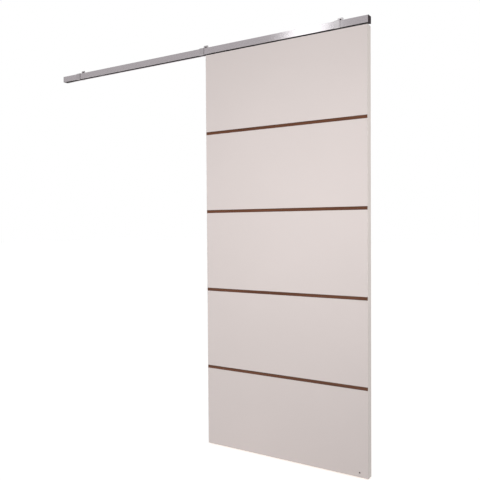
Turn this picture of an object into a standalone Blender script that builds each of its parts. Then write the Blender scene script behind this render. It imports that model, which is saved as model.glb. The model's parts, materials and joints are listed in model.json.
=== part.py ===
"""A sliding door set: a flush door leaf on two roller carriages under a wall-hung track.

X runs along the track, Y into the wall (the wall's surface is y = 0) and Z is up.
The origin is on the wall's surface behind the middle bracket, at the track's mid height.
The door stands closed, at the right-hand end of the track. All sizes are in metres.
"""

import math

import bmesh
import bpy
from mathutils import Matrix, Vector

# Fits
GAP = 0.0003  # between pieces that touch
INLAY_GAP = 0.0002  # round an inlaid strip or plug
BORE_CLEARANCE = 0.0001  # on the radius of a pin or a thread in its hole

# Door leaf
DOOR_WIDTH = 0.880
DOOR_HEIGHT = 2.035
DOOR_THICKNESS = 0.040
SKIN_THICKNESS = 0.004
LIPPING_THICKNESS = 0.0010
FIELDS = 5  # equal fields, with a strip between each two
STRIP_WIDTH = 0.0155
STRIP_THICKNESS = 0.002
PLUG_RADIUS = 0.0035
PLUG_DEPTH = 0.003
PLUG_PROUD = 0.0004
PLUG_INSET = 0.041  # from the door's right edge
PLUG_HEIGHT = 0.021  # above the door's bottom
PLUG_CROWN = 0.8  # the flat of the plug's top, as a share of its radius
EDGE_ROUND = 0.0006

# Running gear
BOLT_DIAMETER = 0.006
BOLT_HEAD_FLATS = 0.010
BOLT_HEAD_HEIGHT = 0.004
NUT_HEIGHT = 0.005
SLOT_CLEARANCE = 0.002  # each side of the bolt
WHEEL_DIAMETER = 0.024
WHEEL_WIDTH = 0.0052
WHEEL_SIDE_PLAY = 0.0004
AXLE_DIAMETER = 0.004
AXLE_PITCH = 0.044
CARRIAGE_OVERHANG = 0.002  # past the wheels, so that the body meets the buffers
CARRIAGE_SIDE_PLAY = 0.0005
CARRIAGE_OVER_LEDGE = 0.002
CARRIAGE_OVER_AXLE = 0.007
CARRIAGE_CORNER = 0.004
AXLE_CHAMFER = 0.0003
HUB_WALL = 0.0025
HUB_PROUD = 0.0006
WHEEL_SHOULDER = 0.0006
HANGER_INSET = 0.110  # bolt from the door's edge
PLATE_LENGTH = 0.080
PLATE_WIDTH = 0.020
PLATE_THICKNESS = 0.003
PLATE_SCREW_DIAMETER = 0.004
PLATE_SCREW_LENGTH = 0.025
PLATE_SCREW_HEAD = 0.0076
PLATE_SCREW_INSET = 0.010
POCKET_DEPTH = 0.014
POCKET_PLAY = 0.001
HEAD_CAVITY = 1.35  # across the bolt's head, in widths across its flats

# Track
TRACK_SPARE = 0.204  # track beyond twice the door's width
TRACK_WALL = 0.002
LEDGE_THICKNESS = 0.0025
HEAD_ROOM = 0.0042  # over the wheels
REAR_GROOVE_DEPTH = 0.006
REAR_LIP_HEIGHT = 0.005
CAP_THICKNESS = 0.003
CAP_PLUG_LENGTH = 0.025
DOOR_GAP = 0.0095  # from the door's top to the track
CLOSED_OVERHANG = 0.0005  # of the closed door past the track's right end
WALL_CLEARANCE = 0.0075  # from the door's back to the wall

# Wall brackets
MIDDLE_BRACKET_OFFSET = 0.030  # before the closed door's left edge
LEFT_BRACKET_INSET = 0.1295  # from the track's left end
RIGHT_BRACKET_INSET = 0.1465  # from the track's right end
BRACKET_WIDTH = 0.028
BRACKET_STRIP = 0.002
BRACKET_TAB_TOP = 0.0255  # above the track
BRACKET_HOOK = 0.0045
SPACER_MARGIN = 0.002  # of the track above and below the spacer
WALL_SCREW_DIAMETER = 0.0045
WALL_SCREW_LENGTH = 0.038
WALL_SCREW_HEAD = 0.0095
WALL_SCREW_BELOW_TAB_TOP = 0.0105
HEAD_HEIGHT = 0.35  # of a pan head, as a share of its width
HEAD_RIM = 0.35  # straight side of a pan head, as a share of its height
CROSS_SLOT_REACH = 0.27  # from a screw's axis, as a share of its head's width
CROSS_SLOT_WIDTH = 0.001
CROSS_SLOT_DEPTH = 0.0012

# End stops
STOP_LENGTH = 0.030
STOP_SCREW_DIAMETER = 0.005
SOCKET_RADIUS = 0.29  # of a grub screw's hexagon socket, as a share of its width
SOCKET_DEPTH = 0.0025
BUFFER_LENGTH = 0.008
BUFFER_DIAMETER = 0.012
BUFFER_NOSE = 0.0012
BUFFER_GAP = 0.0005

# Floor guide and the channel that it runs in
FLOOR_GAP = 0.005
GUIDE_LENGTH = 0.040
GUIDE_MARGIN = 0.0075  # left in the channel at each end of the travel
GUIDE_THICKNESS = 0.004
GUIDE_REACH = 0.013  # into the door
GUIDE_PLAY = 0.0012
GUIDE_PLATE_LENGTH = 0.070
GUIDE_PLATE_WIDTH = 0.020
GUIDE_PLATE_THICKNESS = 0.002
GUIDE_SCREW_DIAMETER = 0.0035
GUIDE_SCREW_LENGTH = 0.022
GUIDE_SCREW_HEAD = 1.7  # countersunk head's width, in shank widths
CHANNEL_WALL = 0.0012
CHANNEL_HEADROOM = 0.0025

ROUND_STEPS = 24

# Worked out from the sizes above
MID_Y = -(WALL_CLEARANCE + DOOR_THICKNESS / 2)
DOOR_FRONT = MID_Y - DOOR_THICKNESS / 2
DOOR_BACK = MID_Y + DOOR_THICKNESS / 2
SLOT_WIDTH = BOLT_DIAMETER + 2 * SLOT_CLEARANCE
LEDGE_WIDTH = WHEEL_WIDTH + 2 * WHEEL_SIDE_PLAY
CHANNEL_WIDTH = SLOT_WIDTH + 2 * LEDGE_WIDTH
TRACK_HEIGHT = LEDGE_THICKNESS + GAP + WHEEL_DIAMETER + HEAD_ROOM + TRACK_WALL
TRACK_TOP = TRACK_HEIGHT / 2
TRACK_BOTTOM = -TRACK_HEIGHT / 2
TRACK_FRONT = MID_Y - CHANNEL_WIDTH / 2 - TRACK_WALL
CHANNEL_BACK_WALL = MID_Y + CHANNEL_WIDTH / 2 + TRACK_WALL
TRACK_BACK = CHANNEL_BACK_WALL + REAR_GROOVE_DEPTH
DOOR_LEFT = MIDDLE_BRACKET_OFFSET
DOOR_RIGHT = DOOR_LEFT + DOOR_WIDTH
TRACK_LENGTH = 2 * DOOR_WIDTH + TRACK_SPARE
TRACK_RIGHT_X = DOOR_RIGHT - CLOSED_OVERHANG
TRACK_LEFT_X = TRACK_RIGHT_X - TRACK_LENGTH
LEFT_BRACKET_X = TRACK_LEFT_X + LEFT_BRACKET_INSET
RIGHT_BRACKET_X = TRACK_RIGHT_X - RIGHT_BRACKET_INSET
ROOF_Z = TRACK_TOP - TRACK_WALL
LEDGE_Z = TRACK_BOTTOM + LEDGE_THICKNESS
AXLE_Z = LEDGE_Z + GAP + WHEEL_DIAMETER / 2
WHEEL_OFFSET = SLOT_WIDTH / 2 + LEDGE_WIDTH / 2
DOOR_TOP = TRACK_BOTTOM - DOOR_GAP
DOOR_BOTTOM = DOOR_TOP - DOOR_HEIGHT
CORE_FRONT = DOOR_FRONT + SKIN_THICKNESS + GAP
CORE_BACK = DOOR_BACK - SKIN_THICKNESS - GAP
LEAF_LEFT = DOOR_LEFT + LIPPING_THICKNESS + GAP
LEAF_RIGHT = DOOR_RIGHT - LIPPING_THICKNESS - GAP
TRAVEL = DOOR_WIDTH - GUIDE_LENGTH - 2 * (LIPPING_THICKNESS + GUIDE_MARGIN)
GUIDE_X = DOOR_LEFT + (DOOR_WIDTH - TRAVEL) / 2
FLOOR_Z = DOOR_BOTTOM - FLOOR_GAP
POCKET_FLOOR = DOOR_TOP - POCKET_DEPTH
CARRIAGE_LENGTH = AXLE_PITCH + WHEEL_DIAMETER + 2 * CARRIAGE_OVERHANG
CARRIAGE_THICKNESS = SLOT_WIDTH - 2 * CARRIAGE_SIDE_PLAY
CARRIAGE_BOTTOM = LEDGE_Z + CARRIAGE_OVER_LEDGE
CARRIAGE_TOP = AXLE_Z + AXLE_DIAMETER / 2 + CARRIAGE_OVER_AXLE
HANGERS = {"left": DOOR_LEFT + HANGER_INSET, "right": DOOR_RIGHT - HANGER_INSET}
BRACKETS = {"left": LEFT_BRACKET_X, "middle": 0.0, "right": RIGHT_BRACKET_X}


def clear_scene():
    for obj in list(bpy.data.objects):
        bpy.data.objects.remove(obj, do_unlink=True)


def finish(name, color, roughness, metallic=0.0):
    """A plain Principled material."""
    material = bpy.data.materials.new(name)
    material.use_nodes = True
    shader = material.node_tree.nodes["Principled BSDF"]
    shader.inputs["Base Color"].default_value = (*color, 1.0)
    shader.inputs["Roughness"].default_value = roughness
    shader.inputs["Metallic"].default_value = metallic
    material.diffuse_color = (*color, 1.0)
    return material


def make_finishes():
    return {
        "laminate": finish("warm_grey_laminate", (0.68, 0.62, 0.59), 0.45),
        "lipping": finish("grey_edge_lipping", (0.60, 0.55, 0.53), 0.5),
        "board": finish("chipboard_core", (0.45, 0.33, 0.20), 0.85),
        "strip": finish("dark_walnut_strip", (0.10, 0.05, 0.03), 0.5),
        "aluminium": finish("satin_aluminium", (0.62, 0.61, 0.63), 0.3, 1.0),
        "steel": finish("zinc_plated_steel", (0.55, 0.55, 0.54), 0.35, 1.0),
        "dark_steel": finish("black_steel", (0.05, 0.045, 0.04), 0.45, 0.6),
        "cap": finish("dark_plastic", (0.05, 0.035, 0.04), 0.5),
        "nylon": finish("white_nylon", (0.75, 0.74, 0.70), 0.4),
        "spacer": finish("grey_plastic", (0.35, 0.35, 0.35), 0.5),
        "rubber": finish("black_rubber", (0.02, 0.02, 0.02), 0.8),
    }


def new_object(name, mesh, material=None, parent=None, location=(0, 0, 0)):
    obj = bpy.data.objects.new(name, mesh)
    bpy.context.scene.collection.objects.link(obj)
    obj.parent = parent
    obj.location = location
    if material:
        mesh.materials.append(material)
    return obj


def mesh_from(build, name):
    """A mesh filled by build(bm), with its faces turned outwards."""
    bm = bmesh.new()
    build(bm)
    bmesh.ops.recalc_face_normals(bm, faces=bm.faces)
    mesh = bpy.data.meshes.new(name)
    bm.to_mesh(mesh)
    bm.free()
    return mesh


def prism_mesh(name, outline, axis, low, high):
    """A closed outline in the plane across axis, extruded along axis from low to high.

    The outline's pairs are (y, z) for axis X, (x, z) for axis Y and (x, y) for axis Z.
    """

    def place(pair, along):
        coords = list(pair)
        coords.insert("XYZ".index(axis), along)
        return coords

    def build(bm):
        face = bm.faces.new([bm.verts.new(place(pair, low)) for pair in outline])
        top = bmesh.ops.extrude_face_region(bm, geom=[face])["geom"]
        moved = [part for part in top if isinstance(part, bmesh.types.BMVert)]
        bmesh.ops.translate(bm, verts=moved, vec=Vector(place((0, 0), high - low)))

    return mesh_from(build, name)


def rectangle(low, high):
    return [(low[0], low[1]), (high[0], low[1]), (high[0], high[1]), (low[0], high[1])]


def box_mesh(name, low, high):
    return prism_mesh(name, rectangle(low[:2], high[:2]), "Z", low[2], high[2])


def regular_outline(radius, steps, start=0.0):
    angles = [start + math.tau * i / steps for i in range(steps)]
    return [(radius * math.cos(a), radius * math.sin(a)) for a in angles]


def arc(centre, radius, start, end, steps=4):
    """Points round part of a circle, from one angle in degrees to another."""
    angles = [math.radians(start + (end - start) * i / steps) for i in range(steps + 1)]
    return [(centre[0] + radius * math.cos(a), centre[1] + radius * math.sin(a)) for a in angles]


def aim(mesh, axis, centre=(0, 0, 0)):
    """Turns a mesh made along +Z onto axis, and moves it to centre."""
    turn = Vector((0, 0, 1)).rotation_difference(Vector(axis)).to_matrix().to_4x4()
    mesh.transform(Matrix.Translation(centre) @ turn)
    return mesh


def turned_mesh(name, profile, steps=ROUND_STEPS):
    """A profile of (radius, height) pairs spun about Z. Its ends lie on the axis, or it closes."""

    def build(bm):
        verts = [bm.verts.new((radius, 0, height)) for radius, height in profile]
        edges = [bm.edges.new(pair) for pair in zip(verts, verts[1:])]
        if profile[0][0] > 0:
            edges.append(bm.edges.new((verts[-1], verts[0])))
        bmesh.ops.spin(
            bm,
            geom=verts + edges,
            cent=(0, 0, 0),
            axis=(0, 0, 1),
            angle=math.tau,
            steps=steps,
        )
        bmesh.ops.remove_doubles(bm, verts=bm.verts, dist=1e-6)

    mesh = mesh_from(build, name)
    mesh.shade_smooth()
    mesh.set_sharp_from_angle(angle=math.radians(35))
    return mesh


def round_mesh(name, diameter, low, high, steps=ROUND_STEPS):
    radius = diameter / 2
    return turned_mesh(name, [(0, low), (radius, low), (radius, high), (0, high)], steps)


def cut(target, cutter_mesh):
    """Cuts a helper mesh, already in its place, out of target."""
    cutter = new_object(f"cutter_{target.name}_{len(target.modifiers)}", cutter_mesh)
    cutter.parent = target.parent
    cutter.location = target.location
    cutter.hide_render = True
    cutter.display_type = "WIRE"
    modifier = target.modifiers.new("cut", "BOOLEAN")
    modifier.operation = "DIFFERENCE"
    modifier.solver = "EXACT"
    modifier.object = cutter
    return target


def join(target, other_mesh):
    """Joins a helper mesh to target."""
    cut(target, other_mesh).modifiers[-1].operation = "UNION"
    return target


def soften(obj, width, segments=2):
    modifier = obj.modifiers.new("soften", "BEVEL")
    modifier.width = width
    modifier.segments = segments
    modifier.limit_method = "ANGLE"
    modifier.angle_limit = math.radians(40)
    return obj


def empty(name, location, parent=None):
    obj = bpy.data.objects.new(name, None)
    bpy.context.scene.collection.objects.link(obj)
    obj.parent = parent
    obj.location = location
    return obj


# Track and what is fixed to it


def make_track(finishes):
    """An extrusion with a running channel, open below by a slot, and a T-groove behind."""
    front_inside = MID_Y - CHANNEL_WIDTH / 2
    back_inside = MID_Y + CHANNEL_WIDTH / 2
    slot_front = MID_Y - SLOT_WIDTH / 2
    slot_back = MID_Y + SLOT_WIDTH / 2
    lip_front = TRACK_BACK - TRACK_WALL
    groove_top = TRACK_TOP - TRACK_WALL
    groove_bottom = TRACK_BOTTOM + TRACK_WALL
    outline = [
        (TRACK_FRONT, TRACK_BOTTOM),
        (TRACK_FRONT, TRACK_TOP),
        (TRACK_BACK, TRACK_TOP),
        (TRACK_BACK, groove_top - REAR_LIP_HEIGHT),
        (lip_front, groove_top - REAR_LIP_HEIGHT),
        (lip_front, groove_top),
        (CHANNEL_BACK_WALL, groove_top),
        (CHANNEL_BACK_WALL, groove_bottom),
        (lip_front, groove_bottom),
        (lip_front, groove_bottom + REAR_LIP_HEIGHT),
        (TRACK_BACK, groove_bottom + REAR_LIP_HEIGHT),
        (TRACK_BACK, TRACK_BOTTOM),
        (slot_back, TRACK_BOTTOM),
        (slot_back, LEDGE_Z),
        (back_inside, LEDGE_Z),
        (back_inside, ROOF_Z),
        (front_inside, ROOF_Z),
        (front_inside, LEDGE_Z),
        (slot_front, LEDGE_Z),
        (slot_front, TRACK_BOTTOM),
    ]
    mesh = prism_mesh("track_profile", outline, "X", TRACK_LEFT_X, TRACK_RIGHT_X)
    return new_object("track_profile", mesh, finishes["aluminium"])


def channel_section(play, bottom, top):
    """A T outline that fills the channel and its slot, less play."""
    half_wide = CHANNEL_WIDTH / 2 - play
    half_narrow = SLOT_WIDTH / 2 - play
    shoulder = LEDGE_Z + GAP
    return [
        (MID_Y - half_narrow, bottom),
        (MID_Y + half_narrow, bottom),
        (MID_Y + half_narrow, shoulder),
        (MID_Y + half_wide, shoulder),
        (MID_Y + half_wide, top),
        (MID_Y - half_wide, top),
        (MID_Y - half_wide, shoulder),
        (MID_Y - half_narrow, shoulder),
    ]


def make_end_cap(side, end_x, outwards, finishes):
    """A plate over the track's end, with a plug that fills the channel and its slot."""
    near = end_x + outwards * GAP
    far = end_x + outwards * CAP_THICKNESS
    plate = box_mesh(
        f"end_cap_{side}",
        (min(near, far), TRACK_FRONT, TRACK_BOTTOM),
        (max(near, far), TRACK_BACK, TRACK_TOP),
    )
    cap = new_object(f"end_cap_{side}", plate, finishes["cap"])
    soften(cap, EDGE_ROUND, 1)
    root = end_x + outwards * CAP_THICKNESS / 2
    tip = end_x - outwards * CAP_PLUG_LENGTH
    section = channel_section(GAP, TRACK_BOTTOM + GAP, ROOF_Z - GAP)
    plug = prism_mesh("cap_plug", section, "X", min(root, tip), max(root, tip))
    return join(cap, plug)


def make_bracket(side, x, finishes):
    """A strip bent over the track: a tab on the wall, an arm, a front leaf and a hook."""
    arm_bottom = TRACK_TOP + GAP
    arm_top = arm_bottom + BRACKET_STRIP
    leaf_back = TRACK_FRONT - GAP
    leaf_front = leaf_back - BRACKET_STRIP
    hook_top = TRACK_BOTTOM - GAP
    hook_bottom = hook_top - BRACKET_STRIP
    tab_top = TRACK_TOP + BRACKET_TAB_TOP
    bend = BRACKET_STRIP
    outline = [
        (0, tab_top),
        (0, arm_bottom),
        (leaf_back, arm_bottom),
        (leaf_back, hook_top),
        (TRACK_FRONT + BRACKET_HOOK, hook_top),
        (TRACK_FRONT + BRACKET_HOOK, hook_bottom),
        *arc((leaf_front + bend, hook_bottom + bend), bend, 270, 180),
        *arc((leaf_front + bend, arm_top - bend), bend, 180, 90),
        (-BRACKET_STRIP, arm_top),
        (-BRACKET_STRIP, tab_top),
    ]
    half = BRACKET_WIDTH / 2
    mesh = prism_mesh(f"wall_bracket_{side}", outline, "X", -half, half)
    bracket = new_object(
        f"wall_bracket_{side}", mesh, finishes["steel"], location=(x, 0, 0)
    )
    hole = round_mesh(
        "tab_hole", WALL_SCREW_DIAMETER + 2 * GAP, -BRACKET_STRIP, 2 * BRACKET_STRIP
    )
    screw_z = tab_top - WALL_SCREW_BELOW_TAB_TOP
    return cut(bracket, aim(hole, (0, -1, 0), (0, 0, screw_z)))


def make_spacer(side, x, finishes):
    """A block between the track and the wall, with a T-head in the track's rear groove."""
    groove_half = TRACK_TOP - TRACK_WALL - GAP
    neck_half = TRACK_TOP - TRACK_WALL - REAR_LIP_HEIGHT - GAP
    pad_half = TRACK_TOP - SPACER_MARGIN
    head_front = CHANNEL_BACK_WALL + GAP
    head_back = TRACK_BACK - TRACK_WALL - GAP
    pad_front = TRACK_BACK + GAP
    upper = [
        (0, pad_half),
        (pad_front, pad_half),
        (pad_front, neck_half),
        (head_back, neck_half),
        (head_back, groove_half),
        (head_front, groove_half),
    ]
    lower = [(y, -z) for y, z in reversed(upper)]
    half = BRACKET_WIDTH / 2
    mesh = prism_mesh(f"spacer_{side}", upper + lower, "X", -half, half)
    return new_object(f"spacer_{side}", mesh, finishes["spacer"], location=(x, 0, 0))


def pan_screw_profile(diameter, length, head_diameter):
    """Radii and heights from the tip, at -length, to the top of a domed head."""
    shank = diameter / 2
    head = head_diameter / 2
    head_height = HEAD_HEIGHT * head_diameter
    point = diameter
    dome = [
        (head * math.cos(a), head_height * (HEAD_RIM + (1 - HEAD_RIM) * math.sin(a)))
        for a in (math.radians(d) for d in (0, 30, 60))
    ]
    return [
        (0, -length),
        (shank, -length + point),
        (shank, 0),
        (head, 0),
        *dome,
        (0, head_height),
    ]


def make_wall_screw(side, x, finishes):
    profile = pan_screw_profile(WALL_SCREW_DIAMETER, WALL_SCREW_LENGTH, WALL_SCREW_HEAD)
    mesh = turned_mesh(f"wall_screw_{side}", profile, 16)
    z = TRACK_TOP + BRACKET_TAB_TOP - WALL_SCREW_BELOW_TAB_TOP
    place = (x, -BRACKET_STRIP - GAP, z)
    screw = new_object(
        f"wall_screw_{side}", aim(mesh, (0, -1, 0)), finishes["dark_steel"], location=place
    )
    head_height = HEAD_HEIGHT * WALL_SCREW_HEAD
    arm = WALL_SCREW_HEAD * CROSS_SLOT_REACH
    half = CROSS_SLOT_WIDTH / 2
    for half_x, half_z in ((arm, half), (half, arm)):
        low = (-half_x, -head_height - CROSS_SLOT_DEPTH, -half_z)
        high = (half_x, -head_height + CROSS_SLOT_DEPTH, half_z)
        cut(screw, box_mesh("cross_slot", low, high))
    return screw


def make_end_stop(side, hanger_x, outwards, finishes):
    """A block clamped in the channel, its grub screw and the buffer that meets the carriage."""
    carriage_end = hanger_x + outwards * CARRIAGE_LENGTH / 2
    buffer_near = carriage_end + outwards * BUFFER_GAP
    buffer_far = buffer_near + outwards * BUFFER_LENGTH
    near = buffer_far + outwards * GAP
    far = near + outwards * STOP_LENGTH
    section = channel_section(GAP, TRACK_BOTTOM + GAP, ROOF_Z - GAP)
    body = prism_mesh(f"end_stop_{side}", section, "X", min(near, far), max(near, far))
    stop = new_object(f"end_stop_{side}", body, finishes["spacer"])
    middle = ((near + far) / 2, MID_Y, 0)
    hole_size = STOP_SCREW_DIAMETER + 2 * BORE_CLEARANCE
    hole = round_mesh("screw_hole", hole_size, 2 * TRACK_BOTTOM, 2 * TRACK_TOP)
    cut(stop, aim(hole, (0, 0, 1), middle))

    screw = round_mesh(
        f"stop_screw_{side}", STOP_SCREW_DIAMETER, TRACK_BOTTOM + 2 * GAP, ROOF_Z - GAP, 16
    )
    grub = new_object(
        f"stop_screw_{side}", aim(screw, (0, 0, 1), middle), finishes["dark_steel"]
    )
    socket = prism_mesh(
        "hex_socket",
        regular_outline(STOP_SCREW_DIAMETER * SOCKET_RADIUS, 6),
        "Z",
        2 * TRACK_BOTTOM,
        TRACK_BOTTOM + 2 * GAP + SOCKET_DEPTH,
    )
    cut(grub, aim(socket, (0, 0, 1), middle))

    radius = BUFFER_DIAMETER / 2
    profile = [
        (0, 0),
        (radius, 0),
        (radius, BUFFER_LENGTH - BUFFER_NOSE),
        (radius - BUFFER_NOSE, BUFFER_LENGTH),
        (0, BUFFER_LENGTH),
    ]
    place = (buffer_far, MID_Y, (CARRIAGE_BOTTOM + CARRIAGE_TOP) / 2)
    pad = aim(turned_mesh(f"stop_buffer_{side}", profile), (-outwards, 0, 0), place)
    new_object(f"stop_buffer_{side}", pad, finishes["rubber"])
    return stop


def make_floor_guide(finishes):
    """A plate on the floor with an upright fin that stands in the door's channel."""
    half_plate = GUIDE_PLATE_LENGTH / 2
    top = FLOOR_Z + GUIDE_PLATE_THICKNESS
    plate = box_mesh(
        "floor_guide",
        (GUIDE_X - half_plate, MID_Y - GUIDE_PLATE_WIDTH / 2, FLOOR_Z),
        (GUIDE_X + half_plate, MID_Y + GUIDE_PLATE_WIDTH / 2, top),
    )
    guide = new_object("floor_guide", plate, finishes["nylon"])
    fin = box_mesh(
        "guide_fin",
        (GUIDE_X - GUIDE_LENGTH / 2, MID_Y - GUIDE_THICKNESS / 2, FLOOR_Z + GAP),
        (GUIDE_X + GUIDE_LENGTH / 2, MID_Y + GUIDE_THICKNESS / 2, DOOR_BOTTOM + GUIDE_REACH),
    )
    join(guide, fin)
    screw_x = (GUIDE_LENGTH / 2 + half_plate) / 2
    for side, sign in (("left", -1), ("right", 1)):
        centre = (GUIDE_X + sign * screw_x, MID_Y, top)
        make_guide_screw(side, centre, guide, finishes)
    return guide


def make_guide_screw(side, centre, guide, finishes):
    """A countersunk screw, flush with the guide's plate, and its hole."""
    shank = GUIDE_SCREW_DIAMETER / 2
    head = shank * GUIDE_SCREW_HEAD
    taper = head - shank

    lower = [(0, 0), (shank, shank), (shank, GUIDE_SCREW_LENGTH - taper), (head, GUIDE_SCREW_LENGTH)]
    screw_profile = [(r, z - GUIDE_SCREW_LENGTH) for r, z in lower] + [(0, 0)]
    grown = [(r + GAP, z - GUIDE_SCREW_LENGTH) for r, z in lower[1:]]
    hole_profile = [(0, -GUIDE_SCREW_LENGTH - GAP), *grown, (head + GAP, GAP), (0, GAP)]
    cut(guide, aim(turned_mesh("screw_hole", hole_profile), (0, 0, 1), centre))
    mesh = aim(turned_mesh(f"guide_screw_{side}", screw_profile), (0, 0, 1), centre)
    return new_object(f"guide_screw_{side}", mesh, finishes["steel"])


# Door leaf


def strip_heights():
    """The heights of the strips' middles, at equal shares of the door."""
    return [DOOR_BOTTOM + DOOR_HEIGHT * k / FIELDS for k in range(FIELDS - 1, 0, -1)]


def make_skin(side, face_y, inwards, door, finishes):
    """A face board with a groove across it for each strip."""
    back = face_y + inwards * SKIN_THICKNESS
    mesh = box_mesh(
        f"door_skin_{side}",
        (LEAF_LEFT, min(face_y, back), DOOR_BOTTOM),
        (LEAF_RIGHT, max(face_y, back), DOOR_TOP),
    )
    skin = new_object(f"door_skin_{side}", mesh, finishes["laminate"], door)
    floor_y = face_y + inwards * (STRIP_THICKNESS + INLAY_GAP)
    outside = face_y - inwards * SKIN_THICKNESS
    half = STRIP_WIDTH / 2 + INLAY_GAP
    for z in strip_heights():
        low = (DOOR_LEFT - GAP, min(floor_y, outside), z - half)
        high = (DOOR_RIGHT + GAP, max(floor_y, outside), z + half)
        cut(skin, box_mesh("strip_groove", low, high))
    return skin


def make_strips(side, face_y, inwards, door, finishes):
    for number, z in enumerate(strip_heights(), start=1):
        back = face_y + inwards * STRIP_THICKNESS
        name = f"{side}_strip_{number}"
        mesh = box_mesh(
            name,
            (LEAF_LEFT, min(face_y, back), z - STRIP_WIDTH / 2),
            (LEAF_RIGHT, max(face_y, back), z + STRIP_WIDTH / 2),
        )
        new_object(name, mesh, finishes["strip"], door)


def make_core(door, finishes):
    """The board between the skins, grooved below and pocketed above for the hangers."""
    mesh = box_mesh(
        "door_core",
        (LEAF_LEFT, CORE_FRONT, DOOR_BOTTOM),
        (LEAF_RIGHT, CORE_BACK, DOOR_TOP),
    )
    core = new_object("door_core", mesh, finishes["board"], door)
    half = guide_channel_half() + GAP
    low = (LEAF_LEFT - GAP, MID_Y - half, DOOR_BOTTOM - GAP)
    high = (LEAF_RIGHT + GAP, MID_Y + half, guide_channel_top() + GAP)
    cut(core, box_mesh("guide_groove", low, high))
    for x in HANGERS.values():
        pocket_half = PLATE_WIDTH / 2 + POCKET_PLAY
        pocket_reach = PLATE_LENGTH / 2 + POCKET_PLAY
        low = (x - pocket_reach, MID_Y - pocket_half, POCKET_FLOOR)
        high = (x + pocket_reach, MID_Y + pocket_half, DOOR_TOP + GAP)
        cut(core, box_mesh("hanger_pocket", low, high))
        cavity = round_mesh(
            "head_cavity",
            BOLT_HEAD_FLATS * HEAD_CAVITY,
            POCKET_FLOOR - BOLT_HEAD_HEIGHT - POCKET_PLAY,
            POCKET_FLOOR + POCKET_PLAY,
        )
        cut(core, aim(cavity, (0, 0, 1), (x, MID_Y, 0)))
        for screw_x in plate_screw_places(x):
            pilot = round_mesh(
                "pilot_hole",
                PLATE_SCREW_DIAMETER + 2 * GAP,
                POCKET_FLOOR - PLATE_SCREW_LENGTH,
                POCKET_FLOOR + POCKET_PLAY,
                16,
            )
            cut(core, aim(pilot, (0, 0, 1), (screw_x, MID_Y, 0)))
    return core


def guide_channel_half():
    return GUIDE_THICKNESS / 2 + GUIDE_PLAY + CHANNEL_WALL


def guide_channel_top():
    return DOOR_BOTTOM + GUIDE_REACH + CHANNEL_HEADROOM + CHANNEL_WALL


def make_guide_channel(door, finishes):
    """A U-section in the door's bottom groove, which the floor guide's fin runs in."""
    outer = guide_channel_half()
    inner = outer - CHANNEL_WALL
    top = guide_channel_top()
    outline = [
        (MID_Y - outer, DOOR_BOTTOM),
        (MID_Y - outer, top),
        (MID_Y + outer, top),
        (MID_Y + outer, DOOR_BOTTOM),
        (MID_Y + inner, DOOR_BOTTOM),
        (MID_Y + inner, top - CHANNEL_WALL),
        (MID_Y - inner, top - CHANNEL_WALL),
        (MID_Y - inner, DOOR_BOTTOM),
    ]
    mesh = prism_mesh("guide_channel", outline, "X", LEAF_LEFT, LEAF_RIGHT)
    return new_object("guide_channel", mesh, finishes["spacer"], door)


def make_lipping(side, edge_x, inwards, door, finishes):
    inner = edge_x + inwards * LIPPING_THICKNESS
    mesh = box_mesh(
        f"edge_lipping_{side}",
        (min(edge_x, inner), DOOR_FRONT, DOOR_BOTTOM),
        (max(edge_x, inner), DOOR_BACK, DOOR_TOP),
    )
    lipping = new_object(f"edge_lipping_{side}", mesh, finishes["lipping"], door)
    return soften(lipping, EDGE_ROUND, 2)


def make_corner_plug(skin, door, finishes):
    """A small dark plug in the front skin, over the guide channel's fixing screw."""
    centre = (DOOR_RIGHT - PLUG_INSET, DOOR_FRONT, DOOR_BOTTOM + PLUG_HEIGHT)
    hole_size = 2 * (PLUG_RADIUS + INLAY_GAP)
    hole = round_mesh("plug_hole", hole_size, -PLUG_DEPTH - INLAY_GAP, SKIN_THICKNESS)
    cut(skin, aim(hole, (0, -1, 0), centre))
    profile = [
        (0, -PLUG_DEPTH),
        (PLUG_RADIUS, -PLUG_DEPTH),
        (PLUG_RADIUS, 0),
        (PLUG_RADIUS * PLUG_CROWN, PLUG_PROUD),
        (0, PLUG_PROUD),
    ]
    mesh = aim(turned_mesh("corner_plug", profile), (0, -1, 0), centre)
    return new_object("corner_plug", mesh, finishes["cap"], door)


# Hangers and carriages


def plate_screw_places(x):
    reach = PLATE_LENGTH / 2 - PLATE_SCREW_INSET
    return (x - reach, x + reach)


def make_hanger(side, x, door, finishes):
    """The plate in the door's top pocket, its two screws, the hanging bolt and its nut."""
    plate_low = POCKET_FLOOR + GAP
    plate_high = plate_low + PLATE_THICKNESS
    reach = PLATE_LENGTH / 2
    half = PLATE_WIDTH / 2
    low = (x - reach, MID_Y - half, plate_low)
    high = (x + reach, MID_Y + half, plate_high)
    mesh = box_mesh(f"hanger_plate_{side}", low, high)
    plate = new_object(f"hanger_plate_{side}", mesh, finishes["steel"], door)
    drill_low = plate_low - PLATE_THICKNESS
    drill_high = plate_high + PLATE_THICKNESS
    bolt_hole = round_mesh("bolt_hole", BOLT_DIAMETER + 2 * GAP, drill_low, drill_high)
    cut(plate, aim(bolt_hole, (0, 0, 1), (x, MID_Y, 0)))
    for letter, screw_x in zip("ab", plate_screw_places(x)):
        size = PLATE_SCREW_DIAMETER + 2 * GAP
        drill = round_mesh("screw_hole", size, drill_low, drill_high, 16)
        cut(plate, aim(drill, (0, 0, 1), (screw_x, MID_Y, 0)))
        length = PLATE_SCREW_LENGTH - POCKET_PLAY
        profile = pan_screw_profile(PLATE_SCREW_DIAMETER, length, PLATE_SCREW_HEAD)
        name = f"plate_screw_{side}_{letter}"
        screw = aim(turned_mesh(name, profile, 16), (0, 0, 1), (screw_x, MID_Y, plate_high + GAP))
        new_object(name, screw, finishes["steel"], door)
    make_bolt(side, x, plate_low - GAP, door, finishes)
    make_nut(side, x, plate_high + GAP, door, finishes)


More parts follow.
